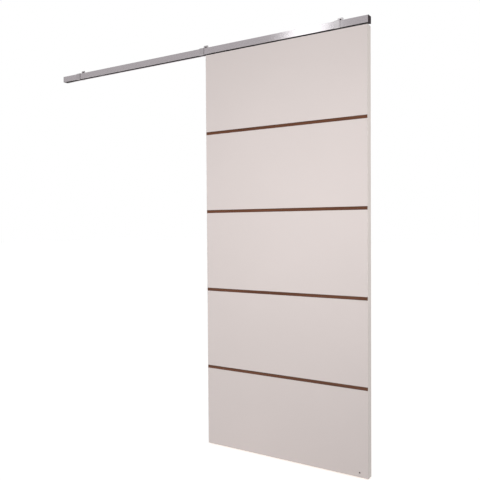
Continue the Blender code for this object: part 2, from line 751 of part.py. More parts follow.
def bolt_top():
    return AXLE_Z + AXLE_DIAMETER


def make_bolt(side, x, shoulder_z, door, finishes):
    """A hexagon-head bolt, head down, from under the plate up into the carriage."""
    hexagon = regular_outline(BOLT_HEAD_FLATS / math.sqrt(3), 6)
    head_low = shoulder_z - BOLT_HEAD_HEIGHT
    head = prism_mesh(f"hanger_bolt_{side}", hexagon, "Z", head_low, shoulder_z)
    bolt = new_object(
        f"hanger_bolt_{side}", head, finishes["steel"], door, location=(x, MID_Y, 0)
    )
    shank = round_mesh("bolt_shank", BOLT_DIAMETER, shoulder_z - BOLT_HEAD_HEIGHT / 2, bolt_top())
    return join(bolt, shank)


def make_nut(side, x, low, door, finishes):
    hexagon = regular_outline(BOLT_HEAD_FLATS / math.sqrt(3), 6)
    mesh = prism_mesh(f"bolt_nut_{side}", hexagon, "Z", low, low + NUT_HEIGHT)
    nut = new_object(f"bolt_nut_{side}", mesh, finishes["steel"], door, (x, MID_Y, 0))
    size = BOLT_DIAMETER + 2 * BORE_CLEARANCE
    return cut(nut, round_mesh("nut_bore", size, low - NUT_HEIGHT, low + 2 * NUT_HEIGHT))


def make_carriage(side, x, door, finishes):
    """The block that the bolt screws into, with two axles across it."""
    half = CARRIAGE_LENGTH / 2
    outline = [
        (-half, CARRIAGE_BOTTOM),
        (half, CARRIAGE_BOTTOM),
        (half, CARRIAGE_TOP - CARRIAGE_CORNER),
        (half - CARRIAGE_CORNER, CARRIAGE_TOP),
        (CARRIAGE_CORNER - half, CARRIAGE_TOP),
        (-half, CARRIAGE_TOP - CARRIAGE_CORNER),
    ]
    mesh = prism_mesh(
        f"carriage_{side}", outline, "Y", -CARRIAGE_THICKNESS / 2, CARRIAGE_THICKNESS / 2
    )
    carriage = new_object(
        f"carriage_{side}", mesh, finishes["dark_steel"], door, (x, MID_Y, 0)
    )
    bore = round_mesh(
        "bolt_bore", BOLT_DIAMETER + 2 * BORE_CLEARANCE, 2 * TRACK_BOTTOM, bolt_top() + GAP
    )
    cut(carriage, bore)
    for end in (-1, 1):
        size = AXLE_DIAMETER + 2 * BORE_CLEARANCE
        hole = round_mesh("axle_hole", size, -CARRIAGE_THICKNESS, CARRIAGE_THICKNESS)
        cut(carriage, aim(hole, (0, 1, 0), (end * AXLE_PITCH / 2, 0, AXLE_Z)))
    return carriage


def axle_places(x):
    return {"a": x - AXLE_PITCH / 2, "b": x + AXLE_PITCH / 2}


def make_axle(name, x, door, finishes):
    reach = WHEEL_OFFSET + WHEEL_WIDTH / 2
    radius = AXLE_DIAMETER / 2
    half = [(0, reach), (radius - AXLE_CHAMFER, reach), (radius, reach - AXLE_CHAMFER)]
    profile = [(r, -z) for r, z in half] + half[::-1]
    mesh = aim(turned_mesh(name, profile), (0, 1, 0))
    return new_object(name, mesh, finishes["steel"], door, (x, MID_Y, AXLE_Z))


def wheel_mesh():
    """A flat-tread wheel with a bore, and a hub that stands proud of its sides."""
    bore = AXLE_DIAMETER / 2 + BORE_CLEARANCE
    rim = WHEEL_DIAMETER / 2
    half = WHEEL_WIDTH / 2
    hub = bore + HUB_WALL
    side = [
        (bore, half),
        (hub, half),
        (hub, half - HUB_PROUD),
        (rim - WHEEL_SHOULDER, half - HUB_PROUD),
        (rim, half - HUB_PROUD - WHEEL_SHOULDER),
    ]
    profile = side + [(r, -z) for r, z in reversed(side)]
    return aim(turned_mesh("wheel", profile), (0, 1, 0))


def make_wheels(side, x, door, finishes):
    """Four wheels, each turning about an empty on its axle's line."""
    mesh = wheel_mesh()
    mesh.materials.append(finishes["nylon"])
    for letter, axle_x in axle_places(x).items():
        make_axle(f"axle_{side}_{letter}", axle_x, door, finishes)
        for face, sign in (("front", -1), ("back", 1)):
            name = f"{side}_{letter}_{face}"
            place = (axle_x, MID_Y + sign * WHEEL_OFFSET, AXLE_Z)
            pivot = empty(f"pivot_{name}", place, door)
            new_object(f"wheel_{name}", mesh, parent=pivot)


def make_door(finishes):
    """Everything that slides: the leaf, its strips, the hangers and the carriages."""
    door = empty("door_slide", (0, 0, 0))
    front_skin = make_skin("front", DOOR_FRONT, 1, door, finishes)
    make_skin("rear", DOOR_BACK, -1, door, finishes)
    make_strips("front", DOOR_FRONT, 1, door, finishes)
    make_strips("rear", DOOR_BACK, -1, door, finishes)
    make_core(door, finishes)
    make_guide_channel(door, finishes)
    make_lipping("left", DOOR_LEFT, 1, door, finishes)
    make_lipping("right", DOOR_RIGHT, -1, door, finishes)
    make_corner_plug(front_skin, door, finishes)
    for side, x in HANGERS.items():
        make_hanger(side, x, door, finishes)
        make_carriage(side, x, door, finishes)
        make_wheels(side, x, door, finishes)


def make_fixed_parts(finishes):
    make_track(finishes)
    make_end_cap("left", TRACK_LEFT_X, -1, finishes)
    make_end_cap("right", TRACK_RIGHT_X, 1, finishes)
    for side, x in BRACKETS.items():
        make_bracket(side, x, finishes)
        make_spacer(side, x, finishes)
        make_wall_screw(side, x, finishes)
    make_end_stop("left", HANGERS["left"] - TRAVEL, -1, finishes)
    make_end_stop("right", HANGERS["right"], 1, finishes)
    make_floor_guide(finishes)


def main():
    clear_scene()
    finishes = make_finishes()
    make_fixed_parts(finishes)
    make_door(finishes)


main()
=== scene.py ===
"""The finished look of a sliding door set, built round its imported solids.

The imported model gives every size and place. Each operator below makes one group of pieces to
stand for the plain solids, with edges, bends, threads and finishes like the real ones.
All sizes are in metres. X runs along the track, Y into the wall and Z is up.
"""

import json
import math

import bmesh
import bpy
import numpy as np
from mathutils import Matrix, Vector

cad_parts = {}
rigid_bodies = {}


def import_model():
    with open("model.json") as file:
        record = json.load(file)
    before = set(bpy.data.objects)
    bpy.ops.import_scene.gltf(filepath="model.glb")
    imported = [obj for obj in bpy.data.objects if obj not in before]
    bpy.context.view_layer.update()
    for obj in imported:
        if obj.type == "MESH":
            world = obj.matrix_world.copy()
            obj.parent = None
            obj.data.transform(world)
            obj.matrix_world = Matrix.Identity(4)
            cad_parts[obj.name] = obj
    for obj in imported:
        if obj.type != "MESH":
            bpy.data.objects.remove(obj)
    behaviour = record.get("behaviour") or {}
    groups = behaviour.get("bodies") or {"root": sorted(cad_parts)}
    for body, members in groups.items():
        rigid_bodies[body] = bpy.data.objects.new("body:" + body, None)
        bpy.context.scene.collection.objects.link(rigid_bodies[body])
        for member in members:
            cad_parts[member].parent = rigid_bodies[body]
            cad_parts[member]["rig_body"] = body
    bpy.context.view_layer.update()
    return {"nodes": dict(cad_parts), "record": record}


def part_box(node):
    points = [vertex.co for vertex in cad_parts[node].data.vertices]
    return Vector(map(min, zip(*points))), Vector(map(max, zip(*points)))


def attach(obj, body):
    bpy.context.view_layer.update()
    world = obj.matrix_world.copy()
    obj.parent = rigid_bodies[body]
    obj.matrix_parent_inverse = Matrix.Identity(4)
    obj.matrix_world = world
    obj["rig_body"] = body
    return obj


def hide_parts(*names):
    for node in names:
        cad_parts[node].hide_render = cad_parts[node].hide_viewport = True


bl_info = {
    "name": "Sliding door set finish",
    "version": (1, 0, 0),
    "blender": (4, 5, 0),
    "location": "View3D > Sidebar > Door set",
    "description": "Finishes the solids of a sliding door set: leaf, track, brackets and running gear",
    "category": "Object",
}

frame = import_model()
SLOTS = {part["node"]: part["material_slot"] for part in frame["record"]["subparts"]}
SIDES = ("left", "right")
BRACKETS = ("left", "middle", "right")
WELD = 2e-6  # vertices nearer than this are one
SHARP = math.radians(32)  # an edge that turns more than this stays crisp
ROUND = 48  # points round a turned piece
ANGLES = np.arange(ROUND) * math.tau / ROUND
QUARTER = math.pi / 2

# Sizes that follow the solids
INLAY_GAP = 0.0002  # round each inlaid strip and the plug
STRIP_EDGE = 0.00018  # round on a strip's edges
SEAM = 0.00022  # how far an edge strip closes the gap to the faces
SEAM_ROUND = 0.00012  # round along that seam
CHANNEL_WALL = 0.0012  # of the U-section in the leaf's bottom
TRACK_END_ROUND = 0.00015
GAP_SHARE = 0.15  # gap between the track and a bracket's leaf, over the strip's thickness
HOOK_REACH = 0.0045  # of a bracket's hook under the track
SCREW_HOLE = 0.00255  # radius of the hole in a bracket's tab
WALL_SHANK = 0.00225  # radius of a wall screw
PLATE_SHANK = 0.002  # radius of a plate screw
BOLT_RADIUS = 0.003
BOLT_HEAD = 0.004  # height
BORE_RADIUS = 0.0021  # of a wheel
TREAD_CROWN = 0.00035  # fall of a wheel's tread from its middle to its edges
TREAD_EDGE = 0.0010  # from the tread to the wheel's face
# Rings of a wheel's side: how far over the bore, or under the tread, and how far under the face
WHEEL_HUB = (
    (0.0, 0.0003), (0.0003, 0.0), (0.0012, 0.0), (0.0013, 0.0003), (0.0024, 0.0003),
    (0.0025, 0.0009), (0.0045, 0.0014),
)
WHEEL_RIM = ((0.0030, 0.0014), (0.0020, 0.0006), (0.0008, 0.0006))
STEEL_RINGS = 5  # of those, from the bore out, that are the bearing's steel
HEAD_HEIGHT = 0.7  # of a pan head, as a share of its radius
HEAD_RIM = 0.35  # straight side of a pan head, as a share of its height
CROSS_WIDTH = 0.12  # half width of a cross recess's arms, as a share of the head's radius
CROSS_REACH = 0.58  # of the arms, in the same shares
CROSS_DEPTH = 0.55  # as a share of the head's height
THREAD_ROOT = 0.7  # of a wood screw's thread, as a share of its radius
GRUB_PITCH = 0.0008  # of a grub screw's thread
SOCKET_DEPTH = 0.0025  # of a grub screw's hexagon

# The studio
WHITE = (1.0, 1.0, 1.0)
FLOOR_REACH = 40.0  # from the middle to the floor's edges
FLOOR_GAP = 0.0001  # under the guide
# Each light's place, target, width, height, spread in degrees and colour
LIGHTS = {
    "key": ((2.1, -2.9, -0.6), (0.25, 0.0, -0.82), 1.2, 0.9, 50, WHITE),
    "side": ((3.2, -0.9, 0.2), (0.9, -0.03, -0.5), 0.7, 0.7, 60, WHITE),
    "strip": ((-0.815, -3.0, 1.07), (0.6, -0.04, 0.0), 0.42, 2.0, 180, (0.93, 1.0, 0.98)),
}


# Sizes and colours that a user would change


def number_setting(name, description, default, **kind):
    return bpy.props.FloatProperty(name=name, description=description, default=default, **kind)


def length_setting(name, description, default):
    return number_setting(name, description, default, unit="LENGTH")


def vector_setting(name, description, default, subtype="COLOR"):
    return bpy.props.FloatVectorProperty(
        name=name, description=description, default=default, subtype=subtype
    )


class TrackSettings(bpy.types.PropertyGroup):
    """The aluminium track."""

    wall: length_setting("Wall", "Wall of the extrusion", 0.002)
    ledge: length_setting("Ledge", "Thickness of the wheels' ledges", 0.0025)
    slot: length_setting("Slot", "Width of the slot below", 0.010)
    channel: length_setting("Channel", "Width of the running channel", 0.022)
    rear_lip: length_setting("Rear lip", "Height of each rear lip", 0.005)
    outer_radius: length_setting("Outer radius", "Round on outside edges", 0.0004)
    inner_radius: length_setting("Inner radius", "Round on inside corners", 0.0003)
    colour: vector_setting("Colour", "Anodised aluminium", (0.87, 0.80, 0.835))
    brushing: number_setting("Brushing", "Strength of the lengthwise grain", 0.35, subtype="FACTOR")


class LeafSettings(bpy.types.PropertyGroup):
    """The door leaf."""

    edge_round: length_setting("Edge round", "Round on the leaf's edges", 0.0008)
    skin_round: length_setting("Groove round", "Round along each groove", 0.00025)
    laminate: vector_setting("Laminate", "Colour of the faces", (0.682, 0.612, 0.594))
    # Darker than the laminate: painted shade for the leaf's side faces
    lipping: vector_setting("Lipping", "Colour of the edges", (0.622, 0.570, 0.538))
    strip_light: vector_setting("Strip, light grain", "Lighter wood", (0.185, 0.070, 0.034))
    strip_dark: vector_setting("Strip, dark grain", "Darker wood", (0.064, 0.021, 0.009))


class HardwareSettings(bpy.types.PropertyGroup):
    """Brackets, screws, wheels and what holds them."""

    bend_radius: length_setting("Bend", "Bend radius of a bracket's middle line", 0.0018)
    strip_edge: length_setting("Strip edge", "Round on a bracket's edges", 0.0004)
    tab_corner: length_setting("Tab corner", "Corner radius of a bracket's tab", 0.005)
    eased_edge: length_setting("Eased edge", "Round on moulded and cast edges", 0.0004)
    wood_pitch: length_setting("Wood thread", "Pitch of a wood screw's thread", 0.0018)
    machine_pitch: length_setting("Machine thread", "Pitch of a bolt's thread", 0.001)
    strip_steel: vector_setting("Bracket steel", "Satin strip", (0.83, 0.77, 0.795))
    steel: vector_setting("Steel", "Zinc-plated steel", (0.56, 0.555, 0.545))
    nylon: vector_setting("Nylon", "Wheels and guide", (0.75, 0.73, 0.68))


class StageSettings(bpy.types.PropertyGroup):
    """The camera and the studio."""

    place: vector_setting("Camera", "Where the camera stands", (1.840, -2.5855, -0.922), "TRANSLATION")
    turn: number_setting(
        "Turn", "Turn to the left of the wall's square", math.radians(32.31), subtype="ANGLE"
    )
    tilt: number_setting("Tilt", "Tilt above the level", math.radians(-1.25), subtype="ANGLE")
    roll: number_setting("Roll", "Roll about the view", math.radians(-0.38), subtype="ANGLE")
    lens: number_setting("Lens", "Focal length in millimetres on a 36 mm sensor", 44.44)
    room_light: number_setting("Room", "Strength of the even light from all round", 0.44)
    floor_glow: number_setting("Floor glow", "Light that comes up through the floor", 0.67)
    key_power: number_setting("Key", "Power of the large soft light", 3.45, unit="POWER")
    side_power: number_setting("Side", "Power of the light on the leaf's edge", 2.0, unit="POWER")
    strip_power: number_setting("Strip", "Power of the tall narrow light", 3.1, unit="POWER")


# Shader maths


class Wire:
    """A shader socket that does arithmetic: each expression adds its Math nodes."""

    def __init__(self, finish, socket):
        self.finish = finish
        self.socket = socket

    def math(self, operation, *values):
        return self.finish.add("ShaderNodeMath", {"operation": operation}, values)

    def __add__(self, other):
        return self.math("ADD", self, other)

    def __radd__(self, other):
        return self.math("ADD", other, self)

    def __sub__(self, other):
        return self.math("SUBTRACT", self, other)

    def __rsub__(self, other):
        return self.math("SUBTRACT", other, self)

    def __mul__(self, other):
        return self.math("MULTIPLY", self, other)

    def __rmul__(self, other):
        return self.math("MULTIPLY", other, self)

    def smaller(self, other):
        return self.math("MINIMUM", self, other)

    def larger(self, other):
        return self.math("MAXIMUM", self, other)

    def kept(self, low=0.0, high=1.0):
        """Held between two values."""
        return self.math("MINIMUM", self.math("MAXIMUM", self, low), high)


class Finish:
    """The shader of a material, or of the world, put together node by node."""

    def __init__(self, owner, output="ShaderNodeOutputMaterial"):
        self.owner = owner if isinstance(owner, bpy.types.ID) else bpy.data.materials.new(owner)
        self.owner.use_nodes = True
        self.tree = self.owner.node_tree
        self.tree.nodes.clear()
        self.output = self.tree.nodes.new(output).inputs["Surface"]

    def add(self, kind, settings=None, values=(), out=0):
        """A node: its type, its settings, and its sockets' values by order or by name."""
        node = self.tree.nodes.new(kind)
        for key, value in (settings or {}).items():
            if key == "stops":
                self.set_stops(node.color_ramp, value)
            else:
                setattr(node, key, value)
        pairs = values.items() if isinstance(values, dict) else enumerate(values)
        for key, value in pairs:
            self.feed(self.socket_of(node.inputs, key), value)
        return Wire(self, self.socket_of(node.outputs, out))

    def set_stops(self, ramp, stops):
        while len(ramp.elements) < len(stops):
            ramp.elements.new(1.0)
        for element, (position, colour) in zip(ramp.elements, stops):
            element.position = position
            element.color = (*colour, 1.0)

    def socket_of(self, sockets, key):
        """A socket by its place, its identifier or its name."""
        if isinstance(key, int):
            return sockets[key]
        found = [s for s in sockets if s.identifier == key] or [s for s in sockets if s.name == key]
        if not found:
            raise KeyError(f"no socket named {key}")
        return found[0]

    def feed(self, socket, value):
        if isinstance(value, Wire):
            self.tree.links.new(value.socket, socket)
        elif hasattr(socket.default_value, "__len__") and len(socket.default_value) == 4:
            socket.default_value = (*value, 1.0)
        else:
            socket.default_value = value

    def place(self, stretch=(1.0, 1.0, 1.0)):
        """Object coordinates, stretched along each axis."""
        where = self.add("ShaderNodeTexCoord", out="Object")
        return self.add("ShaderNodeMapping", values={"Vector": where, "Scale": stretch})

    def pattern(self, kind, size, out, **values):
        """A texture with size marks to a metre: one number, or one for each axis."""
        if isinstance(size, tuple):
            values.update(Vector=self.place(size), Scale=1.0)
        else:
            values.update(Vector=self.place(), Scale=size)
        return self.add(kind, values=values, out=out)

    def noise(self, size, detail=2.0, rough=0.5):
        return self.pattern("ShaderNodeTexNoise", size, "Fac", Detail=detail, Roughness=rough)

    def cells(self, size, out="Distance"):
        return self.pattern("ShaderNodeTexVoronoi", size, out)

    def ramp(self, value, stops):
        return self.add("ShaderNodeValToRGB", {"stops": stops}, [value])

    def step(self, value, low, high):
        """A smooth rise from 0 at low to 1 at high."""
        values = {"Value": value, "From Min": low, "From Max": high}
        return self.add("ShaderNodeMapRange", {"interpolation_type": "SMOOTHSTEP"}, values)

    def mixed(self, share, first, second):
        """A colour between two, by a share from 0 to 1."""
        values = {"Factor_Float": share, "A_Color": first, "B_Color": second}
        return self.add("ShaderNodeMix", {"data_type": "RGBA"}, values, "Result_Color")

    def axis(self, where, letter):
        return self.add("ShaderNodeSeparateXYZ", values=[where], out=letter)

    def bump(self, height, strength, distance=0.001):
        values = {"Height": height, "Strength": strength, "Distance": distance}
        return self.add("ShaderNodeBump", values=values)

    def surface(self, **sockets):
        """The Principled shader that ends the material."""
        values = {key.replace("_", " "): value for key, value in sockets.items()}
        self.feed(self.output, self.add("ShaderNodeBsdfPrincipled", values=values))
        return self.owner


def shade(colour, share):
    """A colour made darker, or lighter above 1, the same in each channel."""
    return tuple(min(1.0, channel * share) for channel in colour)


FINISHES = {}


def finish_of(name):
    """The named material, made the first time that it is asked for."""
    if name not in FINISHES:
        FINISHES[name] = MAKERS[name]() if name in MAKERS else moulded(*PLASTICS[name])
    return FINISHES[name]


def make_laminate():
    """Warm grey laminate: even and matt, with a fine emboss and faint clouds."""
    f = Finish("grey_laminate")
    colour = bpy.context.scene.door_leaf.laminate
    cloud = f.noise(2.3, 3.0)
    emboss = f.noise((1400, 1400, 260), 2.0)
    speck = f.noise(700.0, 2.0)
    share = (cloud * 0.55 + speck * 0.25 + emboss * 0.2).kept()
    base = f.mixed(share, shade(colour, 0.955), shade(colour, 1.045))
    height = emboss * 0.7 + speck * 0.3
    rough = 0.44 + cloud * 0.06 + emboss * 0.06
    return f.surface(
        Base_Color=base, Roughness=rough, Normal=f.bump(height, 0.10, 0.0002), Specular_IOR_Level=0.35
    )


def make_lipping():
    """Edging in a darker copy of the laminate's colour, painted shade for the leaf's side faces, with a
    faint grain up the edge.
    """
    f = Finish("grey_edging")
    colour = bpy.context.scene.door_leaf.lipping
    grain = f.noise((900, 900, 14), 3.0)
    cloud = f.noise(3.1, 2.0)
    base = f.mixed((grain * 0.6 + cloud * 0.4).kept(), shade(colour, 0.94), shade(colour, 1.05))
    return f.surface(
        Base_Color=base,
        Roughness=0.46 + grain * 0.1,
        Normal=f.bump(grain, 0.12, 0.0002),
        Specular_IOR_Level=0.35,
    )


def make_walnut():
    """Dark brown wood with its grain along the strip, open pores and a satin lacquer."""
    f = Finish("dark_walnut")
    leaf = bpy.context.scene.door_leaf
    wander = f.noise((2.4, 60, 60), 3.0)
    bands = f.noise((3.5, 420, 420), 5.0, 0.65)
    share = f.step(bands * 0.75 + wander * 0.4, 0.34, 0.82)
    grain = f.mixed(share, tuple(leaf.strip_dark), tuple(leaf.strip_light))
    pores = f.step(f.noise((45, 3200, 3200), 1.0), 0.62, 0.74)
    base = f.mixed(pores * 0.7, grain, shade(leaf.strip_dark, 0.35))
    return f.surface(
        Base_Color=base,
        Roughness=0.38 + pores * 0.3 + share * 0.08,
        Normal=f.bump(bands * 0.4 - pores * 0.6, 0.25, 0.0003),
        Specular_IOR_Level=0.3,
    )


def make_aluminium():
    """Satin anodised aluminium, brushed along its length.

    Painted shade darkens the running channel and the underside, and the underside more towards the track's
    ends; these faces are also rougher.
    """
    f = Finish("satin_aluminium")
    track = bpy.context.scene.door_track
    fine = f.noise((9, 5200, 5200), 3.0, 0.7)
    broad = f.noise((1.6, 420, 420), 2.0)
    smudge = f.noise(6.0, 3.0)
    share = (fine * 0.45 + broad * 0.35 + smudge * 0.2).kept()
    bright = f.mixed(share, shade(track.colour, 0.90), shade(track.colour, 1.08))
    low, high = box_of("track_profile")
    where = f.place()
    x, y, z = (f.axis(where, letter) for letter in "XYZ")
    rear_wall = low[1] + 2 * track.wall + track.channel
    depth = (y - low[1]).smaller(rear_wall - y).smaller(high[2] - z)
    # painted shade: faces inside the channel and underneath are darkened
    hidden = f.step(depth, 0.0004, 0.0008)
    inner = f.step(z, low[2] + 0.0003, low[2] + 0.0006)
    from_end = (x - low[0]).smaller(high[0] - x)
    # painted shade: the underside darker towards each end of the track
    painted_end_shade = (1.0 - inner) * (1.0 - f.step(from_end, 0.01, 0.13))
    # painted shade put into the base colour of the hidden faces, darkest inside the channel
    shaded_hidden = f.mixed(hidden * 0.92, bright, shade(track.colour, 0.10))
    dark = (hidden * inner * 0.92).larger(painted_end_shade * 0.85)
    base = f.mixed(dark, shaded_hidden, shade(track.colour, 0.05))
    return f.surface(
        Base_Color=base,
        Metallic=1.0,
        Roughness=0.13 + fine * 0.06 + smudge * 0.03 + hidden * 0.5,
        Anisotropic=0.9,
        Anisotropic_Rotation=0.25,
        Normal=f.bump(fine * 0.6 + broad * 0.4, track.brushing, 0.0001),
    )


def make_plated_steel():
    """Zinc-plated steel with faint crystals and a cloudy sheen."""
    f = Finish("zinc_plated_steel")
    colour = bpy.context.scene.door_hardware.steel
    crystals = f.cells(420.0, out="Color")
    cloud = f.noise(45.0, 3.0)
    fine = f.noise(1900.0, 2.0)
    tint = f.mixed(cloud, shade(colour, 0.9), (0.60, 0.585, 0.53))
    base = f.mixed(0.05, tint, crystals)
    return f.surface(
        Base_Color=base,
        Metallic=1.0,
        Roughness=0.27 + cloud * 0.12 + fine * 0.05,
        Normal=f.bump(fine, 0.06, 0.0001),
    )


def make_bracket_steel():
    """Satin strip for the brackets, with its grain across the bend and painted shade on the hook under the
    track, which is also rougher.
    """
    f = Finish("satin_strip_steel")
    colour = bpy.context.scene.door_hardware.strip_steel
    grain = f.noise((2600, 60, 60), 3.0, 0.6)
    cloud = f.noise(60.0, 2.0)
    bright = f.mixed((grain * 0.5 + cloud * 0.5).kept(), shade(colour, 0.86), shade(colour, 1.1))
    track_low, _ = box_of("track_profile")
    # painted shade: the hook under the track is darkened
    painted_hook_shade = 1.0 - f.step(f.axis(f.place(), "Z"), track_low[2] - 0.0014, track_low[2] - 0.0004)
    base = f.mixed(painted_hook_shade * 0.8, bright, shade(colour, 0.16))
    return f.surface(
        Base_Color=base,
        Metallic=1.0,
        Roughness=0.17 + grain * 0.08 + painted_hook_shade * 0.3,
        Normal=f.bump(grain, 0.12, 0.0001),
    )


def make_cut_steel():
    """Sheared edges of the strip: bare and a little rough, darkened as painted shade for the strip's side
    faces.
    """
    f = Finish("sheared_steel")
    tears = f.noise((300, 1800, 1800), 3.0)
    base = f.mixed(tears, (0.10, 0.085, 0.085), (0.22, 0.19, 0.19))
    rough = 0.45 + tears * 0.15
    return f.surface(Base_Color=base, Metallic=1.0, Roughness=rough, Normal=f.bump(tears, 0.3, 0.0002))


def make_bolt_steel():
    """Dark zinc on the bolts and nuts, in faint clouds."""
    f = Finish("dark_zinc_steel")
    cloud = f.noise(160.0, 3.0)
    fine = f.noise(2100.0, 2.0)
    base = f.mixed(cloud, (0.16, 0.15, 0.145), (0.26, 0.25, 0.235))
    rough = 0.33 + fine * 0.12
    return f.surface(Base_Color=base, Metallic=1.0, Roughness=rough, Normal=f.bump(fine, 0.08, 0.0001))


def make_black_steel():
    """Black-oxide steel with brown worn places."""
    f = Finish("black_oxide_steel")
    worn = f.step(f.noise(520.0, 4.0, 0.6), 0.55, 0.75)
    fine = f.noise(2400.0, 2.0)
    base = f.mixed(worn * 0.5, (0.042, 0.038, 0.035), (0.12, 0.095, 0.078))
    return f.surface(
        Base_Color=base,
        Metallic=0.85,
        Roughness=0.36 + fine * 0.12 - worn * 0.06,
        Normal=f.bump(fine, 0.08, 0.0001),
    )


def moulded(name, grain, clouds, dark, light, rough, rougher, emboss, specular=0.5):
    """Moulded plastic with a spark-eroded texture and faint clouds."""
    f = Finish(name)
    texture = f.noise(grain, 3.0, 0.6)
    base = f.mixed(f.noise(clouds, 2.0), dark, light)
    return f.surface(
        Base_Color=base,
        Roughness=rough + texture * rougher,
        Normal=f.bump(texture, emboss, 0.0002),
        Specular_IOR_Level=specular,
    )


def make_nylon():
    """Off-white nylon, a little milky, with fine turning marks."""
    f = Finish("white_nylon")
    colour = bpy.context.scene.door_hardware.nylon
    cloud = f.noise(130.0, 2.0)
    marks = f.noise((900, 2600, 900), 2.0)
    base = f.mixed(cloud, shade(colour, 0.93), shade(colour, 1.04))
    return f.surface(Base_Color=base, Roughness=0.32 + marks * 0.14, Normal=f.bump(marks, 0.08, 0.0001))


def make_rubber():
    """Black rubber with a dusty bloom."""
    f = Finish("black_rubber")
    bloom = f.noise(300.0, 4.0, 0.65)
    base = f.mixed(bloom, (0.014, 0.014, 0.014), (0.042, 0.041, 0.040))
    return f.surface(Base_Color=base, Roughness=0.68 + bloom * 0.2, Normal=f.bump(bloom, 0.15, 0.0003))


def make_board():
    """Raw chipboard: flakes of wood pressed flat between the faces."""
    f = Finish("chipboard")
    flakes = f.cells((260, 900, 520), out="Color")
    tone = f.axis(flakes, "X")
    stops = [(0.0, (0.30, 0.18, 0.09)), (0.5, (0.52, 0.35, 0.19)), (1.0, (0.68, 0.51, 0.32))]
    chips = f.ramp(tone, stops)
    edges = f.cells((260, 900, 520))
    dust = f.noise(1600.0, 3.0)
    base = f.mixed(f.step(edges, 0.45, 0.9) * 0.35, chips, (0.20, 0.12, 0.06))
    return f.surface(Base_Color=base, Roughness=0.8 + dust * 0.12, Normal=f.bump(edges + dust, 0.5, 0.0005))


def make_floor():
    """Pale, plain studio floor."""
    f = Finish("pale_floor")
    faint = f.noise(0.8, 2.0)
    base = f.mixed(faint, (0.90, 0.895, 0.89), (0.93, 0.925, 0.92))
    return f.surface(
        Base_Color=base,
        Roughness=0.6 + faint * 0.05,
        Specular_IOR_Level=0.2,
        Emission_Color=base,
        Emission_Strength=bpy.context.scene.door_stage.floor_glow,
    )


MAKERS = {
    "laminate": make_laminate,
    "edge_lipping": make_lipping,
    "walnut_strip": make_walnut,
    "aluminium": make_aluminium,
    "steel": make_plated_steel,
    "bracket_steel": make_bracket_steel,
    "cut_steel": make_cut_steel,
    "bolt_steel": make_bolt_steel,
    "black_steel": make_black_steel,
    "nylon": make_nylon,
    "rubber": make_rubber,
    "core_board": make_board,
    "floor": make_floor,
}
PLASTICS = {
    "dark_plastic": (
        "dark_moulded_plastic", 1500.0, 90.0, (0.022, 0.013, 0.015), (0.042, 0.030, 0.033),
        0.55, 0.2, 0.2, 0.22,
    ),
    "stop_plastic": (
        "charcoal_plastic", 1300.0, 60.0, (0.050, 0.049, 0.050), (0.080, 0.078, 0.078),
        0.48, 0.16, 0.14,
    ),
    "grey_plastic": (
        "grey_moulded_plastic", 1300.0, 40.0, (0.30, 0.30, 0.305), (0.37, 0.37, 0.37),
        0.42, 0.14, 0.12,
    ),
}


# Surfaces


def box_of(node):
    """A node's lowest and highest corners, as arrays."""
    low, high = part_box(node)
    return np.array(low), np.array(high)


def middle_of(node):
    """The middle of a node's box."""
    low, high = box_of(node)
    return (low + high) / 2


def grid_faces(rows, columns, loop=False):
    """Quads of a grid whose columns run round. With loop, its last row meets its first too."""
    row = np.arange(rows if loop else rows - 1)[:, None]
    column = np.arange(columns)[None, :]
    above = (row + 1) % rows
    beside = (column + 1) % columns
    corners = [row * columns + column, row * columns + beside, above * columns + beside]
    corners.append(above * columns + column)
    return np.stack([np.broadcast_to(c, corners[0].shape) for c in corners], -1).reshape(-1, 4)


def volume_of(points, groups):
    """Six times the volume inside, positive where the faces point outwards.

    Each face is a fan of triangles a, b, c from its first corner, and adds a . (b x c).
    """
    total = 0.0
    for faces in groups:
        corners = points[faces]
        first = corners[:, :1]
        normals = np.cross(corners[:, 1:-1], corners[:, 2:])
        total += float((first * normals).sum())
    return total


def weigh_normals(mesh):
    """Smooth shading that keeps flat faces flat and sharp turns crisp.

    A corner's normal is the sum of area times normal over the faces that meet at its vertex and
    turn less than SHARP from the corner's own face.
    """
    mesh.shade_smooth()
    count = len(mesh.loops)
    vertex = np.empty(count, np.int32)
    mesh.loops.foreach_get("vertex_index", vertex)
    totals = np.empty(len(mesh.polygons), np.int32)
    mesh.polygons.foreach_get("loop_total", totals)
    face = np.repeat(np.arange(len(totals)), totals)
    normals = np.empty(len(totals) * 3)
    mesh.polygons.foreach_get("normal", normals)
    normals = normals.reshape(-1, 3)
    areas = np.empty(len(totals))
    mesh.polygons.foreach_get("area", areas)
    order = np.argsort(vertex, kind="stable")
    meeting = np.bincount(vertex, minlength=len(mesh.vertices))
    first = np.concatenate([[0], np.cumsum(meeting)[:-1]])
    place = np.empty(count, int)
    place[order] = np.arange(count) - first[vertex[order]]
    size = meeting[vertex]
    own = normals[face]
    total = own * areas[face, None]
    for step in range(1, int(size.max())):
        partner = face[order[first[vertex] + (place + step) % size]]
        counts = (step < size) & ((own * normals[partner]).sum(1) > math.cos(SHARP))
        total += normals[partner] * (areas[partner] * counts)[:, None]
    total /= np.maximum(np.linalg.norm(total, axis=1, keepdims=True), 1e-30)
    mesh.normals_split_custom_set(total.tolist())


def mesh_of(name, points, groups):
    """A closed mesh from points and groups of faces, with its faces turned outwards."""
    points = np.asarray(points, float)
    if volume_of(points - points.mean(0), groups) < 0:
        groups = [faces[:, ::-1] for faces in groups]
    mesh = bpy.data.meshes.new(name)
    mesh.from_pydata(points.tolist(), [], [face for faces in groups for face in faces.tolist()])
    mesh.validate()
    weigh_normals(mesh)
    return mesh


def turned_to(points, axis, centre):
    """Points made about +Z, turned so that +Z lies along axis, then moved to centre."""
    turn = Vector((0, 0, 1)).rotation_difference(Vector(axis)).to_matrix()
    return points @ np.array(turn).T + np.asarray(centre, float)


